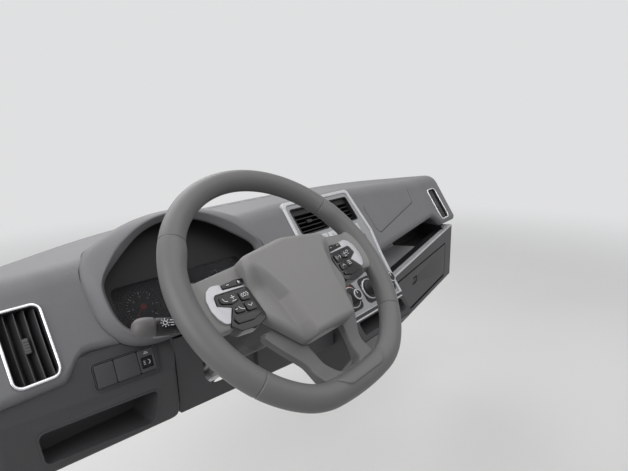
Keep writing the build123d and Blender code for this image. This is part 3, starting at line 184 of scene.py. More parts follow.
class Finish(NodeTree):
    """One material and its node tree, with the shader ready to be fed."""

    def __init__(self, name, roughness=0.5, metallic=0.0, colour=(0.5, 0.5, 0.5), **shader_values):
        self.material = bpy.data.materials.new(name)
        self.material.use_nodes = True
        super().__init__(self.material.node_tree)
        self.shader = self.tree.nodes["Principled BSDF"]
        self.shader.inputs["Base Color"].default_value = (*colour, 1.0)
        self.shader.inputs["Roughness"].default_value = roughness
        self.shader.inputs["Metallic"].default_value = metallic
        for socket_name, value in shader_values.items():
            self.shader.inputs[socket_name.replace("_", " ")].default_value = value
        self.place = self.node("ShaderNodeTexCoord", output="Object")

    def feed(self, socket_name, wire):
        """Links a wire to a socket of the shader."""
        self.tree.links.new(wire.socket, self.shader.inputs[socket_name])

    def noise(self, scale, detail=2.0, roughness=0.5, where=None):
        """Soft noise between 0 and 1; the scale is in waves for each metre."""
        values = {"Vector": where or self.place, "Scale": scale, "Detail": detail, "Roughness": roughness}
        return self.node("ShaderNodeTexNoise", None, values)

    def cells(self, scale, feature="F1"):
        """Distance to the nearest of many scattered points, as pebbled grain has."""
        values = {"Vector": self.place, "Scale": scale}
        return self.node("ShaderNodeTexVoronoi", {"feature": feature}, values, "Distance")

    def axis(self, letter):
        """One coordinate of the place."""
        return self.node("ShaderNodeSeparateXYZ", None, {0: self.place}, letter)

    def mix(self, factor, first, second):
        """A blend of two colours by a factor."""
        settings = {"data_type": "RGBA", "clamp_factor": True}
        return self.node("ShaderNodeMix", settings, {0: factor, 6: first, 7: second}, 2)

    def bump(self, height, distance, strength=1.0):
        """Feeds a height, in the units of the distance, to the shader's normal."""
        values = {"Height": height, "Distance": distance, "Strength": strength}
        self.feed("Normal", self.node("ShaderNodeBump", None, values, "Normal"))


print("a finish knows:", sorted(name for name in vars(Finish) if not name.startswith("__")))

# %% [markdown]
# ## Moulded and grained plastic
#
# Nearly all of a dashboard is moulded plastic with a fine leather-like grain pressed into it. Up
# close it is a field of little pebbles about a millimetre across, and the light picks out their
# edges. From further off it only makes the surface dull, with slightly shinier patches where hands
# rub. One function gives that finish its colour, its grain and its wear. Keys, dials and screens
# are moulded smooth, so their function leaves the grain out.

# %% Finishes for grained and for smooth plastic
GRAIN_PER_METRE = 1100.0
FINE_GRAIN = 1500.0


def shaded(colour, factor, lift=0.0):
    """A colour made lighter or darker by a factor, then lifted by a little, and never above white."""
    return tuple(min(1.0, value * factor + lift) for value in colour)


def grained_plastic(name, colour, roughness=0.55, grain=GRAIN_PER_METRE, depth=0.00012, speckle=0.12):
    """Plastic with a pebbled grain, cloudy patches of sheen and a faint change of shade."""
    finish = Finish(name, roughness, 0.0, colour)
    pebbles = finish.cells(grain, "SMOOTH_F1")
    creases = finish.noise(grain * 0.55, 3.0, 0.6)
    cloud = finish.noise(9.0, 3.0, 0.55)
    shade = (pebbles * 0.5 + cloud * 0.5).fade(0.2, 0.75)
    darker, lighter = shaded(colour, 1.0 - speckle), shaded(colour, 1.0 + speckle)
    finish.feed("Base Color", finish.mix(shade, darker, lighter))
    finish.feed("Roughness", cloud * 0.16 + pebbles * 0.1 + (roughness - 0.12))
    finish.bump(pebbles * 0.7 + creases * 0.3, depth, 0.7)
    return finish


def smooth_plastic(name, colour, roughness=0.35, coat=0.0, shine=0.5, rubbed=True):
    """Moulded plastic without grain: faint flow marks and, where hands reach, fine rub marks."""
    gloss = {"Coat_Weight": coat, "Coat_Roughness": 0.08, "Specular_IOR_Level": shine}
    finish = Finish(name, roughness, 0.0, colour, **gloss)
    flow = finish.noise(35.0, 2.0)
    finish.feed("Base Color", finish.mix(flow, colour, shaded(colour, 1.12, 0.002)))
    if rubbed:
        rub = finish.noise(1500.0, 2.0, 0.6)
        finish.feed("Roughness", flow * 0.1 + rub * 0.08 + (roughness - 0.08))
        finish.bump(rub, 0.000008, 0.3)
    else:
        finish.feed("Roughness", flow * 0.1 + (roughness - 0.05))
    return finish


print("grain:", GRAIN_PER_METRE, "pebbles a metre, or", FINE_GRAIN, "where it is fine")

# %% [markdown]
# ## Silver paint, bare metal and coated steel
#
# The silver frames are plastic under a metallic paint, so they get flakes and a clear coat instead
# of a pure metal. The column, the chrome rings and the wheel's armature are metal with the marks
# of the tool that made them. The beam behind it all is steel with a baked coat, whose skin is as
# uneven as an orange's peel.

# %% Finishes for paint and metal


def satin_paint(name, colour, roughness=0.4, metallic=0.5):
    """Silver paint: fine flakes under a thin clear coat."""
    finish = Finish(name, roughness, metallic, colour, Coat_Weight=0.15, Coat_Roughness=0.25)
    flakes = finish.cells(5200.0)
    cloud = finish.noise(14.0, 2.0)
    bright, dim = shaded(colour, 1.12), shaded(colour, 0.88)
    finish.feed("Base Color", finish.mix(flakes.fade(0.1, 0.7), bright, dim))
    finish.feed("Roughness", cloud * 0.1 + flakes * 0.08 + (roughness - 0.06))
    finish.bump(flakes, 0.00002, 0.3)
    return finish


def worked_metal(name, colour, roughness=0.35, streaks=(2.0, 900.0, 900.0)):
    """Bare metal with drawing or turning marks; the streaks are the marks' scale along X, Y and Z."""
    finish = Finish(name, roughness, 1.0, colour)
    stretched = finish.node("ShaderNodeMapping", None, {"Vector": finish.place, "Scale": streaks})
    lines = finish.noise(1.0, 3.0, 0.6, stretched)
    stains = finish.noise(28.0, 3.0, 0.6)
    finish.feed("Base Color", finish.mix(stains.fade(0.45, 0.8), colour, shaded(colour, 0.72)))
    finish.feed("Roughness", lines * 0.2 + stains * 0.12 + (roughness - 0.14))
    finish.bump(lines, 0.00004, 0.4)
    return finish


def coated_steel(name, colour, roughness=0.5):
    """Steel with a baked black coat: orange-peel skin and a little dust."""
    finish = Finish(name, roughness, 0.0, colour)
    peel = finish.noise(650.0, 2.0)
    dust = finish.noise(22.0, 4.0, 0.6)
    finish.feed("Base Color", finish.mix(dust.fade(0.5, 0.85), colour, shaded(colour, 1.6, 0.01)))
    finish.feed("Roughness", dust * 0.2 + (roughness - 0.08))
    finish.bump(peel, 0.00008, 0.5)
    return finish


def smoked_plastic(name, colour, alpha):
    """A clear dark cover with a dull gloss, so that no lamp shows in it as a hard patch."""
    finish = Finish(name, 0.05, 0.0, colour, Alpha=alpha, Specular_IOR_Level=0.12)
    finish.feed("Roughness", finish.noise(12.0, 1.0) * 0.1 + 0.12)
    return finish


PAD_GREY = (0.155, 0.155, 0.162)
# partly the lower panels' own darker tone and partly painted shade: darkened further for the shadow they lie
# in below the pad
LOWER_GREY_WITH_PAINTED_SHADE = (0.052, 0.052, 0.055)
FRAME_SILVER = (0.56, 0.565, 0.58)
DEEP_BLACK = (0.012, 0.012, 0.013)
EVEN_MARKS = (300.0, 300.0, 300.0)
# columns: kind of finish, colour, roughness, then what else that kind takes
FINISH_ROWS = {
    "beam_steel": (coated_steel, (0.03, 0.03, 0.032)),
    "pad_skin": (grained_plastic, PAD_GREY, 0.56),
    "cluster_black": (smooth_plastic, DEEP_BLACK, 0.6, 0.0, 0.3, False),
    "dial_face": (smooth_plastic, (0.012, 0.012, 0.014), 0.6, 0.0, 0.3, False),
    "vent_black": (smooth_plastic, (0.010, 0.010, 0.011), 0.45, 0.0, 0.3),
    "strip_silver": (satin_paint, FRAME_SILVER, 0.42, 0.15),
    "silver_trim": (satin_paint, FRAME_SILVER),
    "panel_dark": (grained_plastic, (0.025, 0.025, 0.027), 0.5, FINE_GRAIN),
    "panel_grey": (satin_paint, (0.32, 0.325, 0.335), 0.45, 0.3),
    "print_white": (smooth_plastic, (0.72, 0.73, 0.74), 0.6),
    "print_red": (smooth_plastic, (0.62, 0.03, 0.02), 0.5),
    "print_blue": (smooth_plastic, (0.03, 0.12, 0.55), 0.5),
    "key_black": (smooth_plastic, DEEP_BLACK, 0.45, 0.0, 0.3),
    "display_glass": (smooth_plastic, (0.006, 0.006, 0.007), 0.12, 0.3, 0.4),
    "dial_black": (smooth_plastic, DEEP_BLACK, 0.38, 0.0, 0.35),
    "lower_plastic": (grained_plastic, LOWER_GREY_WITH_PAINTED_SHADE, 0.58),
    # painted light: the shelf's light grey stands for the sun on its floor; the moulding itself is about the
    # pad's grey
    "shelf_plastic": (grained_plastic, (0.42, 0.42, 0.43), 0.6),
    "duct_black": (smooth_plastic, (0.022, 0.022, 0.023), 0.5),
    "column_steel": (worked_metal, (0.42, 0.42, 0.43)),
    "shroud_plastic": (grained_plastic, (0.03, 0.03, 0.031), 0.55, FINE_GRAIN),
    "stalk_black": (smooth_plastic, (0.008, 0.008, 0.0085), 0.36, 0.0, 0.35),
    "cap_grey": (grained_plastic, (0.115, 0.110, 0.110), 0.5, FINE_GRAIN),
    "vane_grey": (smooth_plastic, (0.048, 0.048, 0.050), 0.34),
    "wheel_metal": (worked_metal, (0.5, 0.5, 0.5), 0.5, EVEN_MARKS),
    "wheel_plastic": (grained_plastic, (0.200, 0.196, 0.193), 0.5, 1700.0, 0.00006, 0.08),
    "wheel_grip": (grained_plastic, (0.118, 0.116, 0.117), 0.46, FINE_GRAIN, 0.00008, 0.1),
    "pod_gloss": (smooth_plastic, (0.006, 0.006, 0.007), 0.16, 0.25, 0.3),
    "satin_trim": (satin_paint, (0.50, 0.50, 0.52), 0.42, 0.35),
    "bright_trim": (worked_metal, (0.70, 0.70, 0.72), 0.24, (400.0, 400.0, 400.0)),
    "smoked_lens": (smoked_plastic, (0.03, 0.031, 0.033), 0.42),
}
finishes = {name: make(name, *values) for name, (make, *values) in FINISH_ROWS.items()}
print("finishes:", len(finishes))

# %% Give each CAD node the finish of its material slot
slot_of = {entry["node"]: entry["material_slot"] for entry in frame["record"]["subparts"]}
for node_name, node in frame["nodes"].items():
    node.data.materials.clear()
    node.data.materials.append(finishes[slot_of[node_name]].material)
print("dressed", len(slot_of), "nodes")

# %% [markdown]
# ## Leaning faces with their own axes
#
# The wheel, the centre stack, the instrument hood and the switch bank each lie on a leaning plane.
# A `Face` keeps that plane's three directions, so a piece on it can be described in millimetres
# across the face, up along it and out of it towards the cab. The numbers are the CAD model's own.

# %% The faces that new pieces lie on
MM = 0.001


class Face:
    """A leaning plane with millimetre axes: across, up along the face and out of it."""

    def __init__(self, origin, lean, yaw=0.0):
        lean = radians(lean)
        yaw = radians(yaw)
        self.origin = MM * np.array(origin)
        self.across = np.array((cos(yaw), -sin(yaw), 0.0))
        self.out = np.array((-sin(yaw) * cos(lean), -cos(yaw) * cos(lean), sin(lean)))
        self.up = np.cross(self.out, self.across)

    def put(self, across, up, out):
        """point = origin + across * A + up * U + out * N, for whole arrays."""
        across, up, out = np.broadcast_arrays(across, up, out)
        step = across[..., None] * self.across + up[..., None] * self.up + out[..., None] * self.out
        return self.origin + MM * step


wheel_face = Face((-356.0, -378.0, 185.0), 44.1)
stack_face = Face((0.0, -128.0, 217.0), 37.5)
hood_face = Face((-359.0, -177.0, 111.0), 32.4, 4.5)
switch_face = Face((-507.5, -172.0, 42.0), 22.0, 8.81)
left_vent_face = Face((-618.0, -131.45, 111.0), 32.4, 3.53)
right_vent_face = Face((618.0, -131.45, 111.0), 32.4, -3.53)
print("wheel looks out along", wheel_face.out.round(3))

# %% [markdown]
# ## Pieces, and shells made of closed rings
#
# Every new piece needs the same last steps: a finish, smooth shading with sharp edges kept, a body
# to ride on and the CAD nodes that it stands for. `place_piece` does them. Nearly every piece is a
# shell made of closed rings, one above the other: a knob is a stack of circles, a key is a stack of
# rounded rectangles, and a tube is a stack bent round until its last ring meets its first. `Shell`
# collects such stacks as arrays, turns each one so that its faces point outwards, and makes a
# single mesh of them.

# %% From a mesh to a piece
record_slots = {material["slot"] for material in frame["record"]["materials"]}


def place_piece(name, mesh, body, slot, replaced=(), sharp_angle=None):
    """Makes the object, gives it its finish, hangs it on its body's empty and hides the nodes it stands for.
    """
    if sharp_angle is not None:
        mesh.shade_smooth()
        mesh.set_sharp_from_angle(angle=radians(sharp_angle))
    mesh.materials.clear()
    mesh.materials.append(finishes[slot].material)
    piece = bpy.data.objects.new(name, mesh)
    bpy.context.scene.collection.objects.link(piece)
    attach(piece, body)
    if replaced:
        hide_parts(*replaced)
    print(name, len(mesh.vertices), "points", len(mesh.polygons), "faces")
    return piece


print("finishes without a slot in the record:", sorted(set(finishes) - record_slots))

# %% The Shell class


class Shell:
    """Closed surfaces collected from grids of points with shape (rings, points on a ring, 3)."""

    def __init__(self):
        self.points = []
        self.faces = []
        self.count = 0

    def add(self, grid, bent_round=False):
        """Adds a stack of rings, with flat end faces unless it is bent round on itself.

        The volume under the faces, the sum of a . (b x c) / 6, is negative when they point inwards,
        and then every face is turned over.
        """
        rings, around = grid.shape[:2]
        index = np.arange(rings * around).reshape(rings, around)
        index = np.concatenate([index, index[:, :1]], axis=1)
        if bent_round:
            index = np.concatenate([index, index[:1]], axis=0)
        corners = [index[:-1, :-1], index[:-1, 1:], index[1:, 1:], index[1:, :-1]]
        quads = np.stack(corners, axis=-1).reshape(-1, 4)
        flat = grid.reshape(-1, 3)
        a, b, c, d = (flat[quads[:, corner]] - flat.mean(axis=0) for corner in range(4))
        volume = (a * np.cross(b, c)).sum() + (a * np.cross(c, d)).sum()
        turn = -1 if volume < 0.0 else 1
        ends = [] if bent_round else [index[:1, -2::-1], index[-1:, :-1]]
        for faces in [quads, *ends]:
            self.faces.extend((faces[:, ::turn] + self.count).tolist())
        self.points.append(flat)
        self.count += len(flat)
        return self

    def piece(self, name, body, slot, replaced=(), sharp_angle=38.0):
        """Makes one mesh of all the stacks and places it."""
        mesh = bpy.data.meshes.new(name)
        mesh.from_pydata(np.concatenate(self.points).tolist(), [], self.faces)
        return place_piece(name, mesh, body, slot, replaced, sharp_angle)


def shells(number):
    """Some empty shells at once."""
    return [Shell() for _ in range(number)]


print("a new shell has", Shell().count, "points")

# %% [markdown]
# ## Outlines, rolled edges and strokes
#
# A moulded part never has a knife edge. `rolled_plate` raises an outline to a plate whose upper
# edge is a quarter circle, and `rolled_ring` does the same for a frame with an opening. `stroke`
# thickens a drawn line to a narrow outline, which is how the small printed signs are made.

# %% Outlines with rounded corners


def rounded_outline(corners, radii, count=96):
    """Even points on a polygon whose corner i is an arc of radius radii[i], tangent to both sides.

    With u and v the directions from the corner to its neighbours and h half the angle between them,
    the arc starts r / tan(h) along u and its centre is r / sin(h) along the bisector.
    """
    corners = np.array(corners, float)
    radii = np.broadcast_to(np.array(radii, float), len(corners))
    pieces = []
    for before, here, after, radius in zip(np.roll(corners, 1, 0), corners, np.roll(corners, -1, 0), radii):
        u = (before - here) / np.linalg.norm(before - here)
        v = (after - here) / np.linalg.norm(after - here)
        half = np.arccos(np.clip(u @ v, -1.0, 1.0)) / 2.0
        if radius <= 0.0 or half > np.pi / 2.0 - 0.01:
            pieces.append(here[None])
            continue
        bisector = (u + v) / np.linalg.norm(u + v)
        centre = here + bisector * radius / np.sin(half)
        x, y = here + u * radius / np.tan(half) - centre
        turn = np.sign(u[0] * v[1] - u[1] * v[0]) * -(np.pi - 2.0 * half)
        c, s = np.cos(np.linspace(0.0, turn, 9)), np.sin(np.linspace(0.0, turn, 9))
        pieces.append(centre + np.stack([x * c - y * s, x * s + y * c], axis=-1))
    return resampled(np.concatenate(pieces), count)


def resampled(outline, count):
    """Points at even distances round a closed outline."""
    closed = np.concatenate([outline, outline[:1]])
    along = np.concatenate([[0.0], np.cumsum(np.linalg.norm(np.diff(closed, axis=0), axis=1))])
    places = np.linspace(0.0, along[-1], count, endpoint=False)
    return np.stack([np.interp(places, along, closed[:, i]) for i in (0, 1)], axis=-1)


def by_angle(outline, centre, count=180):
    """The outline's points at even angles round a centre, so that two outlines join point to point."""
    away = resampled(outline, 720) - np.array(centre)
    angles = np.arctan2(away[:, 1], away[:, 0])
    order = np.argsort(angles)
    wanted = np.linspace(-np.pi, np.pi, count, endpoint=False)
    distance = np.interp(wanted, angles[order], np.hypot(away[:, 0], away[:, 1])[order], period=2.0 * np.pi)
    return np.array(centre) + distance[:, None] * np.stack([np.cos(wanted), np.sin(wanted)], axis=-1)


def inset(outline, distance):
    """The outline moved inwards along its normals, p - d n; a negative distance moves it outwards."""
    tangent = np.roll(outline, -1, 0) - np.roll(outline, 1, 0)
    normal = np.stack([tangent[:, 1], -tangent[:, 0]], axis=-1)
    normal /= np.linalg.norm(normal, axis=1)[:, None]
    x, y = outline[:, 0], outline[:, 1]
    if (x * np.roll(y, -1) - np.roll(x, -1) * y).sum() < 0.0:
        normal = -normal
    return outline - distance * normal


def rectangle(middle, size, corner, count=64):
    """A closed rounded rectangle."""
    x, y = middle
    w, h = size[0] / 2.0, size[1] / 2.0
    return rounded_outline([(x - w, y - h), (x + w, y - h), (x + w, y + h), (x - w, y + h)], corner, count)


def polar(centre, radius, angle):
    """The point at a distance and an angle in degrees from a centre."""
    return centre[0] + radius * cos(radians(angle)), centre[1] + radius * sin(radians(angle))


def arc_line(centre, radius, start, end, count=14):
    """Points on an arc, from one angle to another in degrees."""
    angles = np.radians(np.linspace(start, end, count))
    return np.stack([centre[0] + radius * np.cos(angles), centre[1] + radius * np.sin(angles)], axis=-1)


def circle(centre, radius, count=48):
    """A closed circle."""
    return arc_line(centre, radius, 0.0, 360.0 * (1.0 - 1.0 / count), count)


def stroke(points, width):
    """The outline of a line drawn with a pen of that width: the line moved half a width to each side."""
    points = np.array(points, float)
    tangent = np.gradient(points, axis=0)
    normal = np.stack([-tangent[:, 1], tangent[:, 0]], axis=-1)
    normal /= np.linalg.norm(normal, axis=1)[:, None]
    return np.concatenate([points + normal * width / 2.0, (points - normal * width / 2.0)[::-1]])


print("a 20 mm key outline has", len(rectangle((0, 0), (20, 12), 2)), "points")

# %% Plates, rings and signs raised from outlines


def stacked(face, rings):
    """Pairs of an outline and its height, put on a face as one grid."""
    flat = np.stack([outline for outline, level in rings])
    levels = np.array([level for outline, level in rings])[:, None]
    return face.put(flat[..., 0], flat[..., 1], levels)


def rolled_edge(outline, top, roll, steps, inwards=1.0):
    """Pairs over an edge with a quarter circle: inset r (1 - cos a) at height top - r + r sin a."""
    angles = np.linspace(0.0, np.pi / 2.0, steps)
    return [
        (inset(outline, inwards * roll * (1.0 - np.cos(a))), top - roll + roll * np.sin(a)) for a in angles
    ]


def rolled_plate(face, outline, base, top, roll, steps=5):
    """Rings of a plate: up its side, then over its rolled edge."""
    return stacked(face, [(outline, base), *rolled_edge(outline, top, roll, steps)])


def rolled_ring(face, outer, inner, base, top, roll, steps=5):
    """Rings of a frame with an opening, rolled at both upper edges, to be bent round on itself."""
    over = rolled_edge(outer, top, roll, steps)
    back = rolled_edge(inner, top, roll, steps, -1.0)[::-1]
    return stacked(face, [(outer, base), *over, *back, (inner, base)])


def rounded_frame(face, outer, inner, levels, count, steps=5):
    """A rolled ring between two rounded rectangles, each given as middle, size and corner radius."""
    rims = [by_angle(rectangle(*shape, 300), inner[0], count) for shape in (outer, inner)]
    return rolled_ring(face, *rims, *levels, steps)


def add_signs(shell, face, drawings, level, width=0.9):
    """Adds printed signs: each drawing is a line of points, laid on the face as a thin plate."""
    for drawing in drawings:
        shell.add(rolled_plate(face, stroke(drawing, width), level - 0.3, level + 0.12, 0.05, 2))


sample_plate = rolled_plate(wheel_face, rectangle((0, 0), (20, 12), 2), 0.0, 3.0, 1.0)
print("rings of a plate:", sample_plate.shape[0], "with", sample_plate.shape[1], "points each")

# %% [markdown]
# ## The wheel's rim
#
# The rim is a soft tube round a steel core, wrapped in smooth artificial leather. Its path is a
# circle down to the lower corners, where tighter arcs lead into a nearly flat bottom. It could be
# a curve object with a round bevel, but then the thumb rests and the four joints between the
# wrapped sections could not be shaped. As an array, the tube is its path plus a section whose
# radius depends on both the angle round the wheel and the angle round the section.

# %% The rim's path
RIM_RADIUS = 171.0
RIM_TUBE = 16.5
SEAM_ANGLES = np.radians([146.0, 217.0, 34.0, -37.0])


def rim_path(angle):
    """Distance of the tube's middle from the wheel's centre at an angle in radians.

    171 mm on the large arc. Elsewhere the ray e meets a circle of centre c and radius q at
    c . e + sqrt(q^2 - |c|^2 + (c . e)^2): first the two corner circles, then the flat one.
    """
    e = np.stack([np.cos(angle), np.sin(angle)], axis=-1)

    def reach(centre, radius):
        along = e @ np.array(centre)
        return along + np.sqrt(radius**2 - centre[0] ** 2 - centre[1] ** 2 + along**2)

    off_bottom = np.degrees(np.abs((angle + np.pi / 2.0 + np.pi) % (2.0 * np.pi) - np.pi))
    corner = np.where(e[..., 0] > 0.0, reach((38.5, -59.7), 100.0), reach((-38.5, -59.7), 100.0))
    lower = np.where(off_bottom < 17.62, reach((0.0, 258.0), 420.0), corner)
    return np.where(off_bottom < 32.83, lower, RIM_RADIUS)


even_angles = np.linspace(0.0, 2.0 * np.pi, 300, endpoint=False)
near_seams = (SEAM_ANGLES[:, None] + np.linspace(-0.016, 0.016, 17)) % (2.0 * np.pi)
rim_angles = np.unique(np.concatenate([even_angles, near_seams.ravel()]))
print("rim angles:", len(rim_angles), "narrowest", rim_path(rim_angles).min().round(1))

# %% The rim's surface
rim_line = rim_path(rim_angles)[:, None] * np.stack([np.cos(rim_angles), np.sin(rim_angles)], axis=-1)
tangent = np.roll(rim_line, -1, 0) - np.roll(rim_line, 1, 0)
tangent /= np.linalg.norm(tangent, axis=1)[:, None]
outward = np.stack([tangent[:, 1], -tangent[:, 0]], axis=-1)


def rim_section(around):
    """Radius of the tube, r = 16.35 + thumb rests - grooves.

    around is the angle of the section, 0 on the wheel's outside and a quarter turn at its front.
    A rest is a bell curve over the rim angle, 3.2 mm high at 28 and 152 degrees, on the front inside
    quarter; a groove is a narrow bell curve at each seam, 1 mm deep.
    """
    turn = rim_angles[:, None]
    rest = sum(np.exp(-(((turn - np.radians(at)) / 0.11) ** 2)) for at in (28.0, 152.0))
    inside_front = np.exp(-(((around - 2.5) / 0.75) ** 2))
    away = np.abs((turn[..., None] - SEAM_ANGLES + np.pi) % (2.0 * np.pi) - np.pi).min(axis=-1)
    groove = np.exp(-(((away * RIM_RADIUS) / 0.75) ** 2))
    return RIM_TUBE - 0.15 + 3.2 * rest * inside_front - 1.0 * groove


section_angles = np.linspace(0.0, 2.0 * np.pi, 48, endpoint=False)[None, :]
section = rim_section(section_angles)
rim_grid = wheel_face.put(
    rim_line[:, :1] + outward[:, :1] * section * np.cos(section_angles),
    rim_line[:, 1:] + outward[:, 1:] * section * np.cos(section_angles),
    section * np.sin(section_angles),
)
Shell().add(rim_grid, bent_round=True).piece("rim_grip", "wheel", "wheel_grip", ["wheel_rim"], 60.0)

# %% [markdown]
# ## The hub pad
#
# The pad over the air bag is one soft moulding with a shield outline. Its middle is a raised,
# gently domed shield, and on both sides of that the surface falls into a scooped hollow that gets
# deeper towards the bottom. A stack of shrunken outlines gives the rings, and a height over the
# plane gives the scoops, so the whole pad is one smooth surface with rolled edges.

# %% The hub pad's height
HUB_TOP = 27.0
HUB_MIDDLE = np.array((0.0, -20.0))
SCOOP_DEPTH = 17.0


def smooth_step(value):
    """0 below 0, 1 above 1 and 3 v^2 - 2 v^3 between."""
    value = np.clip(value, 0.0, 1.0)
    return value * value * (3.0 - 2.0 * value)


def hub_height(x, y):
    """Height of the pad: a low dome less the side scoops.

    The dome is 27 - 2.2 (r / 80)^2. A scoop starts at the raised shield's side edge, s(y), and falls
    by up to 17 mm over the next 10 mm, with nothing above y = 30 and the full fall below y = -6. The
    fall is nearly straight, 0.75 v + 0.25 smooth_step(v), so that the shield's edge stays crisp.
    """
    side_edge = np.interp(y, [-92.0, -67.0, -27.0, 24.5, 60.0], [36.0, 41.0, 45.0, 63.0, 74.0])
    past_edge = (np.abs(x) - side_edge) / 10.0
    slope = 0.75 * np.clip(past_edge, 0.0, 1.0) + 0.25 * smooth_step(past_edge)
    fall = slope * smooth_step((30.0 - y) / 36.0)
    dome = HUB_TOP - 2.2 * ((x / 80.0) ** 2 + ((y - HUB_MIDDLE[1]) / 80.0) ** 2)
    return dome - SCOOP_DEPTH * fall


print("pad height:", hub_height(0.0, -20.0), "in the middle,", hub_height(60.0, -20.0).round(1), "in a scoop")

# %% The hub pad's surface
HUB_CORNERS = [(-82, 42), (0, 53), (82, 42), (86, -36), (44, -90), (-44, -90), (-86, -36)]
HUB_RADII = [13, 70, 13, 26, 15, 15, 26]
HUB_EDGE_ROLL = 9.0
SKIRT_FOOT = -7.0
hub_outline = by_angle(rounded_outline(HUB_CORNERS, HUB_RADII, 400), HUB_MIDDLE, 300)
hub_arm = hub_outline - HUB_MIDDLE
near_edge = 1.0 - 0.14 * np.cos(np.linspace(0.1, np.pi / 2.0, 12)) ** 1.6
spread = np.concatenate([np.linspace(0.02, 0.86, 70), near_edge])[:, None]
hub_rings = HUB_MIDDLE + spread[..., None] * hub_arm
edge_distance = (1.0 - spread) * np.hypot(hub_arm[:, 0], hub_arm[:, 1])
inside_roll = np.clip(HUB_EDGE_ROLL - edge_distance, 0.0, HUB_EDGE_ROLL)
roll_drop = HUB_EDGE_ROLL - np.sqrt(HUB_EDGE_ROLL**2 - inside_roll**2)
ring_height = hub_height(hub_rings[..., 0], hub_rings[..., 1]) - roll_drop
skirt_share = np.array([0.66, 0.33, 0.0])[:, None]
skirt_height = SKIRT_FOOT + skirt_share * (ring_height[-1] - SKIRT_FOOT)
skirt_rings = HUB_MIDDLE + (1.0 + 0.012 * (1.0 - skirt_share))[..., None] * hub_arm
hub_plan = np.concatenate([hub_rings, skirt_rings])
hub_grid = wheel_face.put(hub_plan[..., 0], hub_plan[..., 1], np.concatenate([ring_height, skirt_height]))
Shell().add(hub_grid).piece("hub_pad", "wheel", "wheel_plastic", ["airbag_cover"], 70.0)

# %% [markdown]
# ## The two side spokes
#
# A spoke is a thin moulded shell between the hub and the rim. Its face is nearly flat by the hub,
# then swells up to meet the front of the rim, and its upper and lower edges roll over. One grid
# covers it: across the wheel, and round a flattened loop from the front face to the back.

# %% Side spoke shells


def soft_loop(turn, power):
    """Cosine and sine to a power, signs kept: below 1 the circle turns into a soft square."""
    c, s = np.cos(turn), np.sin(turn)
    return np.sign(c) * np.abs(c) ** power, np.sign(s) * np.abs(s) ** power


def spoke_grid(side):
    """Loops round the spoke at steps across the wheel.

    At each step the loop is a rounded bar between the lower edge and the upper edge:
    y = middle + half * c(t), h = centre + thickness * s(t), with c and s the soft loop of power 0.3.
    Over the last 24 mm the face rises by 7.5 mm in a smooth step to meet the rim.
    """
    across = np.linspace(58.0, 166.0, 40)[:, None]
    share = (across - 58.0) / 108.0
    flare = smooth_step((across - 142.0) / 24.0)
    top = 43.0 - 9.0 * share + 5.0 * flare
    bottom = -40.0 + 8.0 * share - 6.0 * flare
    face_level = 4.0 + 7.5 * flare
    back_level = -14.0 + 3.0 * flare
    c, s = soft_loop(np.linspace(0.0, 2.0 * np.pi, 72, endpoint=False)[None, :], 0.30)
    up = (top + bottom) / 2.0 + (top - bottom) / 2.0 * c
    out = (face_level + back_level) / 2.0 + (face_level - back_level) / 2.0 * s
    return wheel_face.put(side * across, up, out)


SIDES = (-1, 1)
spokes = Shell()
for side in SIDES:
    spokes.add(spoke_grid(side))
spokes.piece("spoke_shells", "wheel", "wheel_plastic", ["spoke_covers"], 50.0)

# %% [markdown]
# ## The switch pods on the spokes
#
# On each spoke sits a gloss black pod of push keys, held by a satin silver crescent on its outer
# side, with a thin silver line along its top and a narrow key above the line. All of them are
# plates with rolled edges, drawn for the left spoke and mirrored for the right one. The signs on
# the keys are plain ones: a handset, arrows, plus and minus.

# %% Silver crescents and gloss pods


def on_side(points, side):
    """Points drawn for the left spoke, mirrored for the right one."""
    return [(-side * x, y) for x, y in points]


CRESCENT = [
    (-119, 21.5), (-132, 23), (-141, 18), (-146.5, 8), (-147.5, -7), (-144.5, -18), (-139.5, -26),
    (-133, -28.5), (-126.5, -19), (-120.5, -11), (-138, -3.2), (-135.5, 7.6), (-132, 10.6), (-88, 8.6),
    (-88, 10.4), (-119, 13.4),
]
CRESCENT_RADII = [1.5, 8, 8, 12, 14, 12, 6, 2, 10, 1.2, 1.2, 3, 2, 0, 0, 1.2]
POD = [
    (-134, 9), (-131, 9.6), (-84, 7.6), (-80, -38), (-99, -44), (-124, -41.5), (-134, -31), (-119, -11),
    (-136.5, -4),
]
POD_RADII = [1.5, 2, 3, 8, 8, 8, 3, 2, 1.5]
TOP_KEY = [(-117.5, 20), (-118, 14.6), (-86, 12.4), (-83, 20), (-97, 21.5)]
crescents, pods = shells(2)
# columns: shell, outline, corner radii, points, base, top, roll
POD_PLATES = [
    (crescents, CRESCENT, CRESCENT_RADII, 300, 1.0, 7.2, 0.7),
    (pods, POD, POD_RADII, 200, -11.0, 6.4, 1.0),
    (pods, TOP_KEY, 1.5, 120, 1.0, 7.0, 0.8),
]
for side in SIDES:
    for shell, corners, radii, count, *levels in POD_PLATES:
        shell.add(rolled_plate(wheel_face, rounded_outline(on_side(corners, side), radii, count), *levels))
crescents.piece("pod_crescents", "wheel", "satin_trim", ["pod_bezels"])

# %% Push keys on the pods
POD_KEY_TOP = 8.6
POD_KEYS = [
    ([(-131, 6), (-131, -3), (-117, -7.6), (-104, -5), (-104, 4.6)], 3.0),
    ([(-102.6, 4.4), (-102.6, -8), (-88, -10), (-87, 4)], 3.0),
    ([(-116, -12), (-104, -8.6), (-104, -22), (-121, -20)], 3.0),
    ([(-102.6, -10), (-88, -12), (-86, -24), (-102.6, -23)], 3.0),
    ([(-127, -25), (-122, -22), (-86, -26), (-86, -31), (-101, -35), (-124, -32.6)], 2.0),
]
for side in SIDES:
    for corners, radius in POD_KEYS:
        key = rounded_outline(on_side(corners, side), radius, 90)
        pods.add(rolled_plate(wheel_face, key, 5.0, POD_KEY_TOP, 1.1))
pods.piece("pod_keys", "wheel", "pod_gloss", ["switch_pods"])

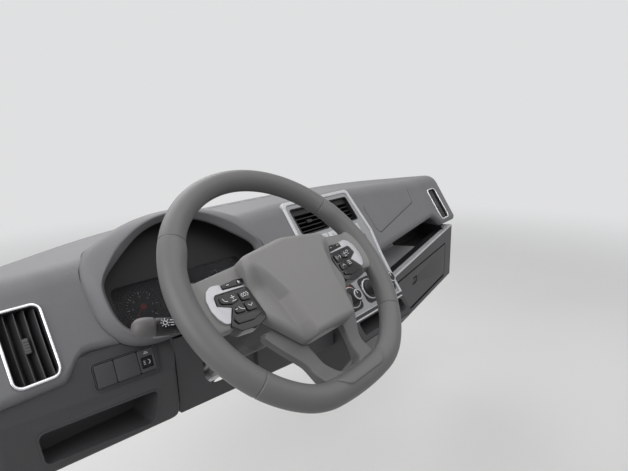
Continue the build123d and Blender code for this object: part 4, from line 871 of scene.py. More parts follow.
# %% Signs on the pods
HANDSET = [(-127, 3), (-126.5, 0.2), (-124.5, -1.8), (-121.8, -2.6)]
HANDSET_DOWN = [(-112.5, -13.5), (-111, -16.2), (-108.6, -17.8), (-105.8, -18.2)]
LEFT_SIGNS = [
    HANDSET, HANDSET_DOWN,
    [(-116, 0.6), (-110, 0.6)], [(-113, 3.4), (-113, -2.2)], [(-116, -4.2), (-110, -4.2)],
    [(-98.5, 1.2), (-100.8, -1.6), (-98.5, -4.4)], [(-91.8, 1.2), (-89.5, -1.6), (-91.8, -4.4)],
    arc_line((-95.2, -1.6), 2.0, 0, 350), [(-118.6, -15.2), (-115.4, -15.2)],
    [(-99, -15), (-95.5, -18), (-92, -15)], [(-112, 17), (-108, 17)], [(-95, 16.4), (-91, 16.4)],
    [(-93, 18.4), (-93, 14.4)],
]
RIGHT_SIGNS = [
    arc_line((121, 1.0), 3.2, 60, 300), [(121, 1.0), (123.6, 3.0)],
    [(110, 0.6), (116, 0.6)], [(113, 3.4), (113, -2.2)], [(110, -4.2), (116, -4.2)],
    [(98.5, 1.2), (100.8, -1.6), (98.5, -4.4)], [(91.8, 1.2), (89.5, -1.6), (91.8, -4.4)],
    [(93.2, -1.6), (97.2, -1.6)], [(107, -13), (114, -13)], [(107, -15.6), (114, -15.6)],
    [(107, -18.2), (114, -18.2)], [(92, -18), (95.5, -15), (99, -18)], [(108, 17), (112, 17)],
    [(91, 16.4), (95, 16.4)],
]
signs = Shell()
add_signs(signs, wheel_face, LEFT_SIGNS + RIGHT_SIGNS, POD_KEY_TOP, 0.75)
signs.piece("pod_signs", "wheel", "print_white")

# %% [markdown]
# ## The lower spoke
#
# Below the hub a dark grey ring with a D-shaped opening ties the pad to the bottom of the rim. It
# wears the rim's darker grip finish rather than the hub's grey, which adds painted shade for the
# shade it lies in. Its two arms come out from under the pad, and its lower end is a rounded tab that
# laps over the front of the rim. The ring is a grid round the opening, from the opening's edge to the
# outer edge and back underneath. Its height follows the rim's tube wherever the tube is higher than the ring.

# %% The lower spoke's outlines and height
RING_OUTER = [
    (-96, -52), (96, -52), (75, -86), (58, -112), (51, -146), (36, -163), (-36, -163), (-51, -146),
    (-58, -112), (-75, -86),
]
RING_OUTER_RADII = [6, 6, 16, 30, 16, 15, 15, 16, 30, 16]
RING_OPENING = [(-38, -84), (38, -84), (31, -118), (22, -143), (-22, -143), (-31, -118)]
RING_OPENING_RADII = [7, 7, 24, 14, 14, 24]
RING_MIDDLE = (0.0, -112.0)
RING_EDGE_ROLL = 3.2
RING_BACK = -19.0
ring_outer = by_angle(rounded_outline(RING_OUTER, RING_OUTER_RADII, 400), RING_MIDDLE, 240)
ring_opening = by_angle(rounded_outline(RING_OPENING, RING_OPENING_RADII, 400), RING_MIDDLE, 240)


def rim_front(x, y):
    """Front of the rim's tube over the wheel plane: sqrt(16.5^2 - d^2) for a distance d from its path."""
    away = np.hypot(x, y) - rim_path(np.arctan2(y, x))
    return np.sqrt(np.clip(RIM_TUBE**2 - away**2, 0.0, None)) - np.where(np.abs(away) > RIM_TUBE, 30.0, 0.0)


def ring_face(x, y):
    """Height of the ring's face: -9 near the hub, rising to lap 2.4 mm over the rim's tube.

    The two levels are joined by a soft maximum, (a + b + sqrt((a - b)^2 + 8)) / 2.
    """
    level = -9.0 + 11.0 * smooth_step((-118.0 - y) / 34.0)
    lap = rim_front(x, y) + 2.4
    return (level + lap + np.sqrt((level - lap) ** 2 + 8.0)) / 2.0 - 0.4


print("ring height by the hub and on the rim:", [float(ring_face(0.0, y).round(1)) for y in (-90.0, -160.0)])

# %% The lower spoke's ring


def between(shares):
    """Points between the opening, at share 0, and the outer edge, at share 1."""
    return ring_opening + shares[..., None] * (ring_outer - ring_opening)


shares = np.linspace(0.0, 1.0, 26)[:, None]
front_plan = between(shares)
from_edge = np.minimum(shares, 1.0 - shares) * np.linalg.norm(ring_outer - ring_opening, axis=1)
inside_roll = np.clip(RING_EDGE_ROLL - from_edge, 0.0, RING_EDGE_ROLL)
edge_drop = RING_EDGE_ROLL - np.sqrt(RING_EDGE_ROLL**2 - inside_roll**2)
front_height = ring_face(front_plan[..., 0], front_plan[..., 1]) - edge_drop
back_plan = between(np.array([1.0, 0.66, 0.33, 0.0])[:, None])
ring_plan = np.concatenate([front_plan, back_plan])
ring_height = np.concatenate([front_height, np.full(back_plan.shape[:2], RING_BACK)])
ring_grid = wheel_face.put(ring_plan[..., 0], ring_plan[..., 1], ring_height)
ring_shell = Shell().add(ring_grid, bent_round=True)
# painted shade: the rim's darker grip finish stands for the shade on the ring, whose own grey is nearer the
# hub's
ring_shell.piece("lower_spoke_ring", "wheel", "wheel_grip", ["lower_spoke_trim"], 50.0)

# %% [markdown]
# ## Softened copies of the hard-edged panels
#
# The CAD panels have the right shape but sharp edges, and a moulded edge always catches a thin
# line of light. Each panel's mesh is copied, its loose triangles are merged, flat faces are joined
# up, and a Bevel modifier rounds every edge by a millimetre or two. The copy then stands for the
# panel.

# %% Copy, merge and round


def merged_copy(node_name, name, flatten=False):
    """A copy of a CAD node's mesh with its loose triangles merged and, if asked, its flat faces joined."""
    mesh = frame["nodes"][node_name].data.copy()
    mesh.name = name
    work = bmesh.new()
    work.from_mesh(mesh)
    bmesh.ops.remove_doubles(work, verts=work.verts, dist=0.00002)
    if flatten:
        bmesh.ops.dissolve_limit(work, angle_limit=radians(1.2), verts=work.verts, edges=work.edges)
    work.to_mesh(mesh)
    work.free()
    return mesh


def softened(node_name, body, width_mm, angle=32.0):
    """A merged copy of a CAD node with its edges rounded by a Bevel modifier."""
    name = node_name + "_soft"
    mesh = merged_copy(node_name, name, flatten=True)
    copy = place_piece(name, mesh, body, slot_of[node_name], [node_name], angle)
    bevel = copy.modifiers.new("rounded_edges", "BEVEL")
    bevel.width = width_mm * MM
    bevel.segments = 2
    bevel.limit_method = "ANGLE"
    bevel.angle_limit = radians(angle)
    bevel.use_clamp_overlap = True
    bevel.harden_normals = True


SOFT_EDGES_MM = {
    "heater_plates": 0.8, "stack_tray": 1.0, "lower_driver_panel": 1.2, "lower_inner_panel": 1.0,
    "lower_passenger_panel": 1.0, "glove_lid": 1.4, "glove_catch": 0.8,
    "upper_shroud": 2.0, "lower_shroud": 2.0, "tilt_lever": 1.2, "centre_vents": 0.4,
    "centre_display": 0.6, "stack_base": 1.0,
}
body_of = {name: body for body, names in frame["record"]["behaviour"]["bodies"].items() for name in names}
for node_name, width_mm in SOFT_EDGES_MM.items():
    softened(node_name, body_of[node_name], width_mm)
print("softened", len(SOFT_EDGES_MM), "panels")

# %% [markdown]
# ## The instrument hood
#
# The hood is a thick soft ring round the instruments. In the CAD model it is a straight loft with
# a few flat bands. The real one rolls smoothly from the pad over its ridge and then falls in a
# broad band to a thin inner lip. Here every ring is the same arch-shaped outline, worked out from
# its half width, crown and corner radii, and the rings follow a rounded profile in depth. A light
# smoothing along each ring takes out the last changes of curvature.

# %% The hood's outline at any depth
# columns: depth, half width, crown, foot of the arch, its distance from the side, side top, bottom
HOOD_ROWS = np.array([
    (0, 157, 150, 116, 42, 66, -43),
    (18, 172, 161, 127, 26, 92, -45),
    (24, 174, 163, 129, 25, 94, -45),
    (120, 176, 180, 144, 30, 104, 0),
], float)
MOUTH_ROWS = np.array([(0, 157, 150, 116, 42, 66, -43), (24, 167, 157, 118, 42, 68, -49)], float)
HOOD_MIDDLE = np.array((0.0, 44.0))
HOOD_AROUND = 320


def hood_ring(rows, depth, drawn_in):
    """The arch outline at a depth, drawn in by an inset, as even angles round the hood's middle.

    The arch's tip is foot + w tan(2 atan((crown - foot) / w)) with w the arch's half width, so that
    the circle of radius 0.79 w / sin(angle) laid into the tip passes near the crown. Each distance
    from the middle is then averaged with its neighbours under a bell curve.
    """
    sizes = (np.interp(depth, rows[:, 0], column) for column in rows.T[1:])
    half, crown, foot, arch_in, side_top, bottom = sizes
    foot_radius = min(72.0, 0.62 * (side_top - bottom)) - drawn_in
    half, crown, foot, bottom = half - drawn_in, crown - drawn_in, foot - drawn_in, bottom + drawn_in
    arch_half = half - arch_in
    angle = 2.0 * atan2(crown - foot, arch_half)
    tip = foot + arch_half * np.tan(angle)
    corners = [
        (-half + 6, bottom), (half - 6, bottom), (half, side_top), (arch_half, foot), (0, tip),
        (-arch_half, foot), (-half, side_top),
    ]
    side, shoulder = 30 - drawn_in, 44 - drawn_in
    arch_radius = 0.79 * arch_half / sin(angle)
    radii = [foot_radius, foot_radius, side, shoulder, arch_radius, shoulder, side]
    ring = by_angle(rounded_outline(corners, radii, 600), HOOD_MIDDLE, HOOD_AROUND)
    away = np.hypot(*(ring - HOOD_MIDDLE).T)
    kernel = np.exp(-(np.arange(-9, 10) ** 2) / 32.0)
    soft = np.convolve(np.concatenate([away[-9:], away, away[:9]]), kernel / kernel.sum(), "valid")
    return HOOD_MIDDLE + (ring - HOOD_MIDDLE) * (soft / away)[:, None]


print("hood mouth is", np.ptp(hood_ring(HOOD_ROWS, 0.0, 0.0), axis=0).round(), "mm wide and high")

# %% The hood's rings, from its hidden back over the lip to the pad
ROLL_DEPTH = 18.0
HOOD_BACK = [(119.0, 3.0), (60.0, 3.0), (18.0, 3.2)]
MOUTH_SHARES = (0.92, 0.75, 0.55, 0.35, 0.2, 0.08, 0.02)
OUTER_DEPTHS = [
    1.2, 2.5, 4.0, 6.0, 8.0, 10.5, 13.0, 15.5, 18.0, 21.0, 24.0, 34.0, 50.0, 75.0, 100.0, 119.0,
]


def flare(depth):
    """Depth at which the straight flare is as wide as the rolled one: 18 (1 - (1 - d / 18)^1.45)."""
    rolled = ROLL_DEPTH * (1.0 - (1.0 - np.clip(depth / ROLL_DEPTH, 0.0, 1.0)) ** 1.45)
    return np.where(depth < ROLL_DEPTH, rolled, depth)


hood_rings = [(hood_ring(HOOD_ROWS, depth, drawn_in), -depth) for depth, drawn_in in HOOD_BACK]
hood_rings += [(hood_ring(MOUTH_ROWS, 16.5, 14.6), -17.0)]
hood_rings += [(hood_ring(MOUTH_ROWS, 12.0, 14.0), -depth) for depth in (16.0, 13.2, 12.0)]
for share in MOUTH_SHARES:
    hood_rings += [(hood_ring(MOUTH_ROWS, share * 12.0, 2.4 + share * 11.0), -(share**1.12) * 11.0)]
hood_rings += [(hood_ring(HOOD_ROWS, 0.0, 1.2), 0.1), (hood_ring(HOOD_ROWS, 0.0, 0.3), -0.3)]
hood_rings += [(hood_ring(HOOD_ROWS, float(flare(depth)), 0.0), -depth) for depth in OUTER_DEPTHS]
hood_shell = Shell().add(stacked(hood_face, hood_rings), bent_round=True)
hood_shell.piece("hood_skin", "dash", "pad_skin", ["instrument_hood"], 48.0)

# %% [markdown]
# ## The instruments behind the lens
#
# Behind the smoked lens lie two round dials with a screen between them. The dials carry scale
# marks, plain numbers and a needle. The marks are small plates on the dial's floor, set by their
# angle; the numbers are text turned into a mesh.

# %% Dial faces, marks and needles
DIAL_FLOOR = -67.4
SCREEN_LEVEL = -62.7
DIAL_MIDDLES = [(-78.0, 24.0), (78.0, 24.0)]
DIAL_START = 225.0
dial_discs, dial_marks, needles = shells(3)
for centre in DIAL_MIDDLES:
    disc = circle(centre, 29.0)
    dial_discs.add(rolled_plate(hood_face, disc, DIAL_FLOOR - 0.4, DIAL_FLOOR + 0.8, 0.3, 3))
    for step in range(25):
        near, width = (22.5, 1.0) if step % 4 == 0 else (25.0, 0.5)
        mark = [polar(centre, radius, DIAL_START - step * 11.25) for radius in (near, 27.5)]
        add_signs(dial_marks, hood_face, [mark], DIAL_FLOOR + 1.2, width)
    needle = stroke([polar(centre, radius, 222.0) for radius in (-5.0, 23.0)], 1.3)
    needles.add(rolled_plate(hood_face, needle, DIAL_FLOOR + 1.0, DIAL_FLOOR + 3.4, 0.3, 3))
    needles.add(rolled_plate(hood_face, circle(centre, 5.5), DIAL_FLOOR + 0.6, DIAL_FLOOR + 4.6, 1.2, 4))
for right, up in ((24.0, 38.0), (14.0, 25.0), (4.0, 12.0)):
    add_signs(dial_marks, hood_face, [[(-24.0, up), (right, up)]], SCREEN_LEVEL, 1.0)
dial_discs.piece("dial_discs", "dash", "dial_face")
dial_marks.piece("dial_marks", "dash", "print_white")
needles.piece("dial_needles", "dash", "print_red")

# %% Numbers on the dials
NUMBER_HEIGHT = 5.5


def number_on(face, text, middle, height, level):
    """A number as a thin mesh on a face, its height in millimetres, centred on a point."""
    curve = bpy.data.curves.new("number_" + text, "FONT")
    curve.body = text
    curve.size = height * MM
    curve.align_x = "CENTER"
    curve.align_y = "CENTER"
    curve.extrude = 0.00015
    curve.resolution_u = 2
    words = bpy.data.objects.new("number_" + text, curve)
    bpy.context.scene.collection.objects.link(words)
    bpy.context.view_layer.update()
    mesh = bpy.data.meshes.new_from_object(words.evaluated_get(bpy.context.evaluated_depsgraph_get()))
    bpy.data.objects.remove(words)
    place = face.put(*(np.array(float(value)) for value in (*middle, level)))
    turned = Matrix((face.across, face.up, face.out)).transposed().to_4x4()
    mesh.transform(Matrix.Translation(Vector(place)) @ turned)
    mesh.materials.clear()
    return mesh


numbers = bmesh.new()
for centre, count_by in zip(DIAL_MIDDLES, (1, 20)):
    for index in range(7):
        spot = polar(centre, 17.5, DIAL_START - index * 45.0)
        number = str(index * count_by)
        numbers.from_mesh(number_on(hood_face, number, spot, NUMBER_HEIGHT, DIAL_FLOOR + 1.3))
number_mesh = bpy.data.meshes.new("dial_numbers")
numbers.to_mesh(number_mesh)
numbers.free()
place_piece("dial_numbers", number_mesh, "dash", "print_white")

# %% [markdown]
# ## Stalks turned on a lathe
#
# A stalk is round all along, so one profile turned about its line makes it: a thin arm, a ribbed
# ring that twists and the thick grip. A rounder grey cap is pushed on its end. The signs for the
# lamps lie on the side of the grip and of the ring that faces the rear.

# %% The two stalks
STALK_START = np.array([-34.0, -16.0])
STALK_END = np.array([-197.0, 38.0])
STALK_LEVEL = -80.0
stalk_along = (STALK_END - STALK_START) / float(np.linalg.norm(STALK_END - STALK_START))
stalk_across = np.array([-stalk_along[1], stalk_along[0]])
# columns: distance along the stalk, radius
STALK_PROFILE = np.array([
    (0, 0.5), (0.1, 7.3), (60, 7.0), (88, 6.8), (92, 7.4), (95, 9.8), (97, 10.4), (118, 10.6), (119, 10.0),
    (120.2, 10.0), (121.2, 10.8), (142, 11.2), (143, 10.4), (144.4, 10.4), (145.4, 10.6), (150.0, 10.6),
    (150.5, 0.5),
])
CAP_PROFILE = np.array([
    (144.8, 0.5), (145.0, 11.2), (145.8, 12.3), (149, 12.7), (155, 12.9), (160, 12.6), (164, 11.7),
    (167.5, 9.9), (170, 7.0), (171.2, 3.6), (171.6, 0.5),
])


def turned_stalk(side, profile):
    """x along the stalk, radius r(x), with ribs of 0.35 mm on the twisting ring: r + 0.35 cos(24 a)."""
    turn = np.linspace(0.0, 2.0 * np.pi, 72, endpoint=False)[None, :]
    distance = profile[:, :1]
    on_ring = (distance > 121.0) & (distance < 142.5)
    radius = profile[:, 1:] + on_ring * 0.35 * np.cos(24.0 * turn)
    x = STALK_START[0] + stalk_along[0] * distance + stalk_across[0] * radius * np.cos(turn)
    y = STALK_START[1] + stalk_along[1] * distance + stalk_across[1] * radius * np.cos(turn)
    return wheel_face.put(-side * x, y, STALK_LEVEL + radius * np.sin(turn))


stalk_caps = Shell()
for side, stalk_name in zip(SIDES, ("left_stalk", "right_stalk")):
    arm = Shell().add(turned_stalk(side, STALK_PROFILE))
    arm.piece(stalk_name + "_turned", "column", "stalk_black", [stalk_name], 50.0)
    stalk_caps.add(turned_stalk(side, CAP_PROFILE))
stalk_caps.piece("stalk_caps", "column", "cap_grey", (), 50.0)

# %% Signs on the stalks' grips
LAMP = (134.0, 0.0)
LAMP_RAYS = [[polar(LAMP, radius, angle) for radius in (4.2, 6.0)] for angle in range(0, 360, 45)]
STALK_DRAWINGS = [
    [(101, -4.4), (101, 4.4)], [(104.5, -4.4), (104.5, 4.4)], [(108, -4), (113, 0), (108, 4)],
    [(123, -3.4), (127.5, -3.4)], [(123, 0), (127.5, 0)], [(123, 3.4), (127.5, 3.4)],
    arc_line(LAMP, 2.6, 0, 345), [(115.5, -3.6), (117.5, 0), (115.5, 3.6)],
] + LAMP_RAYS
stalk_axes = np.array([stalk_along, stalk_across])
stalk_signs = Shell()
for side in SIDES:
    drawn = [STALK_START + np.array(line) @ stalk_axes for line in STALK_DRAWINGS]
    add_signs(stalk_signs, wheel_face, [line * (-side, 1) for line in drawn], STALK_LEVEL + 11.4, 1.1)
stalk_signs.piece("stalk_signs", "column", "print_white")

# %% [markdown]
# ## Vents
#
# The side vents have a bright ring with rolled edges. In the dark barrel behind it stand four upright
# vanes, all turned the same way to send the air to one side, and the middle pair carries a
# ribbed slider. A flap closes the view into the duct. A vane is a flat soft bar, so its section is
# an oval with a high power, turned by the vane's angle.

# %% Vent rings, barrels, vanes and sliders
VANE_PLACES = (-18.9, -6.3, 6.3, 18.9)
VANE_TURN = radians(24.0)
VANE_HALF = 50.5
ORIGIN = (0.0, 0.0)
vent_rings, vent_barrels, vent_vanes, vent_sliders = shells(4)


def vane_grid(face, middle):
    """A soft loop of power 0.6, 2.2 by 16.4 mm, turned 24 degrees about the upright, bowed by 0.8 mm."""
    c, s = soft_loop(np.linspace(0.0, 2.0 * np.pi, 32, endpoint=False)[None, :], 0.6)
    thick, deep = 1.1 * c, 8.2 * s
    height = np.linspace(-VANE_HALF, VANE_HALF, 9)[:, None]
    bow = 0.8 * (height / VANE_HALF) ** 2
    across = middle + bow + thick * cos(VANE_TURN) + deep * sin(VANE_TURN)
    return face.put(across, height, -13.6 - thick * sin(VANE_TURN) + deep * cos(VANE_TURN))


for face in (left_vent_face, right_vent_face):
    bezel = (ORIGIN, (62, 110), 14), (ORIGIN, (53.4, 101.4), 9.6), (-2.0, 3.4, 1.9)
    barrel = (ORIGIN, (57, 105), 11), (ORIGIN, (51.6, 99.6), 8.6), (-26.8, -0.6, 0.6)
    vent_rings.add(rounded_frame(face, *bezel, 200, 6), bent_round=True)
    vent_barrels.add(rounded_frame(face, *barrel, 200, 4), bent_round=True)
    vent_barrels.add(rolled_plate(face, rectangle(ORIGIN, (55, 103), 9), -26.6, -24.4, 0.6, 3))
    for place in VANE_PLACES:
        vent_vanes.add(vane_grid(face, place))
    vent_sliders.add(rolled_plate(face, rectangle((0.6, 0), (8.4, 22), 2.0, 60), -14.0, -4.0, 1.4))
    for rib in (-6.0, -2.0, 2.0, 6.0):
        vent_sliders.add(rolled_plate(face, rectangle((0.6, rib), (6.6, 1.6), 0.6, 24), -4.6, -3.2, 0.4, 3))
vent_rings.piece("vent_bezels", "dash", "bright_trim", ["side_vent_rings"])
vent_barrels.piece("vent_barrels", "dash", "vent_black", ["side_vents"])
vent_vanes.piece("vent_vanes", "dash", "vane_grey", (), 60.0)
vent_sliders.piece("vent_sliders", "dash", "vane_grey")

# %% [markdown]
# ## The centre stack's controls
#
# The three heater knobs sit on black rounded plates. Each knob gets a bright ring at its foot, a
# knurled grip and a white pointer, and each plate gets printed marks round it; the left knob sets
# the warmth, so its marks run from blue to red. The keys above carry small plain signs.

# %% Knobs turned on a lathe
DIAL_DOWN = -233.0
# columns: height, radius
KNOB_PROFILE = np.array([
    (1.0, 20.5), (2.0, 21.2), (4.6, 21.2), (5.4, 20.4), (5.6, 16.6), (7.0, 15.6), (18.4, 14.0),
    (20.6, 13.0), (21.4, 11.2), (21.6, 0.5),
])
FOOT_RING = np.array([(0.9, 23.4), (3.0, 23.4), (4.0, 22.8), (4.4, 21.6), (4.0, 20.9), (0.9, 20.9)])
CAP_RING = np.array([(20.4, 11.6), (22.2, 11.6), (22.8, 10.9), (22.8, 9.4), (20.4, 9.2)])


def knob_grid(middle, rows, knurl=0.0):
    """Height h and radius r(h) turned round; the grip has ribs of knurl * cos(40 a)."""
    turn = np.linspace(0.0, 2.0 * np.pi, 160, endpoint=False)[None, :]
    on_grip = ((rows[:, :1] > 6.5) & (rows[:, :1] < 19.0)) * knurl
    radius = rows[:, 1:] + on_grip * np.cos(40.0 * turn)
    return stack_face.put(middle + radius * np.cos(turn), DIAL_DOWN + radius * np.sin(turn), rows[:, :1])


knobs, knob_rings, pointers, warm_marks, cold_marks, plate_marks = shells(6)
for middle in (-66.0, 0.0, 66.0):
    knobs.add(knob_grid(middle, KNOB_PROFILE, 0.3))
    for rows in (FOOT_RING, CAP_RING):
        knob_rings.add(knob_grid(middle, rows), bent_round=True)
    pointer = rectangle((middle, DIAL_DOWN + 5.6), (1.6, 7.0), 0.7, 24)
    pointers.add(rolled_plate(stack_face, pointer, 21.0, 22.2, 0.2, 3))
    for step in range(11):
        mark = [polar((middle, DIAL_DOWN), radius, 225.0 - step * 27.0) for radius in (24.4, 25.4)]
        if abs(mark[1][0] - middle) < 23.6:
            add_signs(plate_marks, stack_face, [mark], 1.1, 0.7)
for shell, start, end in ((cold_marks, 100, 215), (warm_marks, -35, 80)):
    band = stroke(arc_line((-66.0, DIAL_DOWN), 24.6, start, end, 30), 1.5)
    shell.add(rolled_plate(stack_face, band, 0.8, 1.3, 0.1, 2))
knobs.piece("knob_grips", "dash", "dial_black", ["heater_dials"])
knob_rings.piece("knob_rings", "dash", "silver_trim")
pointers.piece("knob_pointers", "dash", "print_white")
plate_marks.piece("plate_marks", "dash", "print_white")
warm_marks.piece("warm_marks", "dash", "print_red")
cold_marks.piece("cold_marks", "dash", "print_blue")

# %% Keys and their signs
KEYS_DOWN = -92.0
KEY_PITCH = 29.0
KEY_TOP = 2.6
KEY_SIGNS = [
    [[(-4, 0), (4, 0)], [(0, -3), (0, 3)]],
    [arc_line((0, 0), 3.4, 20, 340), [(0, 0), (3, 0)]],
    [[(-4, -3), (0, 3)], [(0, 3), (4, -3)], [(-4, -3), (4, -3)]],
    [[(-4, 2.4), (4, 2.4)], [(-4, 0), (4, 0)], [(-4, -2.4), (4, -2.4)]],
    [arc_line((0, -1), 3.6, 10, 170), [(0, -1), (0, 3)]],
    [[(-3, -3), (3, 3)], [(-3, 3), (3, -3)]],
]
keys, key_signs = shells(2)
for index, drawing in enumerate(KEY_SIGNS):
    middle = ((index - 2.5) * KEY_PITCH, KEYS_DOWN)
    keys.add(rolled_plate(stack_face, rectangle(middle, (26.0, 18.0), 2.0, 80), -9.0, KEY_TOP, 1.2))
    add_signs(key_signs, stack_face, [np.array(line) + middle for line in drawing], KEY_TOP, 0.8)
keys.piece("stack_keys", "dash", "silver_trim", ["centre_keys"])
key_signs.piece("key_signs", "dash", "key_black")

# %% [markdown]
# ## The switch bank at the left end
#
# Three keys lie in a shallow frame with a double line round it. The outer two are blank covers and
# the third has a small square recess with a lit sign. Each key is a plate with rolled edges, so a
# fine dark gap stays between neighbours.

# %% Frame, keys and the lit sign
KEY_RECESS = (31.5, -3.0)
RECESS_FLOOR = -1.2
BANK_KEY_TOP = 2.4
bank, bank_dark, bank_sign = shells(3)
# columns: outer size and corner, inner size and corner, top
DOUBLE_LINE = [
    (((97, 43), 8), ((93.4, 39.4), 6.2), 2.2),
    (((92.2, 38.2), 5.6), ((89.6, 35.6), 4.2), 3.0),
]
for outer, inner, top in DOUBLE_LINE:
    ring = rounded_frame(switch_face, (ORIGIN, *outer), (ORIGIN, *inner), (-6.0, top, 0.8), 240)
    bank.add(ring, bent_round=True)
bank_dark.add(rolled_plate(switch_face, rectangle(ORIGIN, (95, 41), 6), -9.0, -2.0, 0.5, 3))
for left, right in ((-44.0, -16.4), (-15.6, 18.2)):
    cover = rectangle(((left + right) / 2, 0), (right - left, 34.2), 2.2, 90)
    bank.add(rolled_plate(switch_face, cover, -5.0, BANK_KEY_TOP, 1.0))
key_shapes = ((31.5, 0), (25.0, 34.2), 2.2), (KEY_RECESS, (18.0, 17.0), 1.6)
bank.add(rounded_frame(switch_face, *key_shapes, (-4.0, BANK_KEY_TOP, 0.9), 160), bent_round=True)
recess = rectangle(KEY_RECESS, (17.4, 16.4), 1.4, 60)
bank_dark.add(rolled_plate(switch_face, recess, -5.0, RECESS_FLOOR, 0.8))
bank.piece("switch_bank", "dash", "lower_plastic", ["driver_switches"])
bank_dark.piece("switch_bank_recess", "dash", "key_black")
LAMP_SIGN = [arc_line((33.0, -3.0), 3.2, -80, 80)] + [[(29.3, up), (26.3, up)] for up in (-0.6, -3.0, -5.4)]
add_signs(bank_sign, switch_face, LAMP_SIGN, RECESS_FLOOR, 0.8)
KEY_LINES = [[(28.0, 10.8), (35.0, 10.8)], [(29.5, 12.8), (33.5, 12.8)]]
add_signs(bank_sign, switch_face, KEY_LINES, BANK_KEY_TOP, 0.7)
bank_sign.piece("switch_sign", "dash", "print_white")

# %% [markdown]
# ## The pad's lower edge above the shelf
#
# On the passenger's side the pad ends higher than the CAD model has it, so that the shelf below it
# shows. The pad's mesh is copied, and its lower edge slides up along its own leaning face. The face
# keeps its plane, because every point moves along it, and only the edge and the flange behind it
# change. A Weighted Normal modifier lets the large flat faces rule the shading at their edges.

# %% Slide the lower edge up along the face
PAD_CENTRE_X, PAD_WING_X = 125.0, 544.0
RAISED_EDGE_Z = 76.0


def edge_lift(x, y, z):
    """How far a pad point slides up: the wanted edge height 76 less the CAD edge's, faded on three sides.

    The CAD edge rises from 46 at x = 125 to 71 at x = 544. The lift is full at the edge, none above
    z = 120 or forward of y = -75, and it fades over 20 mm at the pod and over 50 mm at the stack.
    """
    share = np.clip((PAD_WING_X - x) / (PAD_WING_X - PAD_CENTRE_X), 0.0, 1.0)
    edge_z = 71.0 - 25.0 * share
    edge_y = -163.0 - 96.0 * share
    along = smooth_step((562.0 - x) / 20.0) * smooth_step((x - 60.0) / 50.0)
    height = smooth_step((120.0 - z) / (104.0 - edge_z))
    depth = np.clip((-75.0 - y) / (-90.0 - edge_y), 0.0, 1.0)
    return (RAISED_EDGE_Z - edge_z) * along * height * depth


pad_mesh = merged_copy("upper_pad", "upper_pad_raised")
flat = np.empty(3 * len(pad_mesh.vertices))
pad_mesh.vertices.foreach_get("co", flat)
pad_points = flat.reshape(-1, 3)
lift = edge_lift(*(pad_points.T / MM))
lean = np.radians(np.interp(pad_points[:, 0] / MM, [PAD_CENTRE_X, PAD_WING_X], [37.5, 32.4]))
pad_points[:, 1] += MM * lift * np.tan(lean)
pad_points[:, 2] += MM * lift
pad_mesh.vertices.foreach_set("co", pad_points.ravel())
pad_mesh.update()
pad_piece = place_piece("upper_pad_raised", pad_mesh, "dash", "pad_skin", ["upper_pad"], 30.0)
flat_faces_rule = pad_piece.modifiers.new("flat_faces_rule", "WEIGHTED_NORMAL")
flat_faces_rule.weight = 100
flat_faces_rule.keep_sharp = True
print("pad points moved:", int((lift > 0.01).sum()), "of", len(pad_points))

# %% [markdown]
# ## The passenger's shelf
#
# The shelf is drawn as sections across it, one every few centimetres, all hung on the belt line.
# Its lip carries a satin silver strip on the outside and a dark rubber strip inside. Behind them
# lies the floor, which stops short of the pod; its light grey is painted light for the sun on it.
# Beyond it the shelf drops into a pocket whose dark plastic is painted shade for the shade inside it.

# %% Sections hung on the belt line
SHELF_WALL_Y = -64.0


def belt(x):
    """The belt line on the passenger's side: y = -153 - 0.155 d and z = 27 - 0.051 d, d = 690 - x."""
    away = 690.0 - x
    return -153.0 - 0.155 * away, 27.0 - 0.051 * away


def on_wall(step, up):
    """A section's point that keeps its distance from the shelf's front wall, not from the belt line."""
    return step, up, 1.0


def belt_sweep(x_from, x_to, section, stations=24):
    """A closed section swept along x: each point is belt + (dy, dz), or wall + dy and belt + dz."""
    x = np.linspace(x_from, x_to, stations)[:, None]
    step, up, walled = np.array([(*point, 0.0)[:3] for point in section]).T
    y_belt, z_belt = belt(x)
    y = np.where(walled == 1.0, SHELF_WALL_Y, y_belt) + step
    return MM * np.stack(np.broadcast_arrays(x, y, z_belt + up), axis=-1)


SILVER = rounded_outline([(0.2, -5.0), (0.2, 3.4), (17.6, 2.2), (17.6, -5.0)], [0.0, 3.0, 1.2, 0.0], 72)
RUBBER = rounded_outline([(17.0, -5.0), (17.0, 0.8), (38.6, -0.4), (40.0, -5.0)], [0.0, 0.8, 1.6, 0.0], 72)
UNDERSIDE = [(1.6, -5.0), (1.6, -8.0), (40.0, -28.6), on_wall(3, -28.6)]
SHELF_FLOOR = UNDERSIDE + [
    on_wall(3, 49.0), on_wall(0, 49.0), on_wall(0, -14.0), on_wall(-4, -18.0), (44.0, -9.0), (40.4, -4.0),
]
POCKET = UNDERSIDE + [
    on_wall(3, 50.0), on_wall(0, 50.0), on_wall(0, -22.0), on_wall(-4, -25.4), (46.0, -25.4), (41.0, -21.0),
    (40.0, -4.0),
]
LOW_POCKET = [(step, min(up, 26.0), *wall) for step, up, *wall in POCKET]
POCKET_END = [(6.0, -6.0), (6.0, 0.0), (30.0, 22.0), on_wall(0, 22.0), on_wall(0, -28.0), (40.0, -28.0)]
END_CAP = [(1.6, -5.0), (1.6, -1.0), (30.0, -1.0), (30.0, -5.0)]
print("the belt line falls from", belt(690.0), "to", [round(value, 1) for value in belt(103.0)])

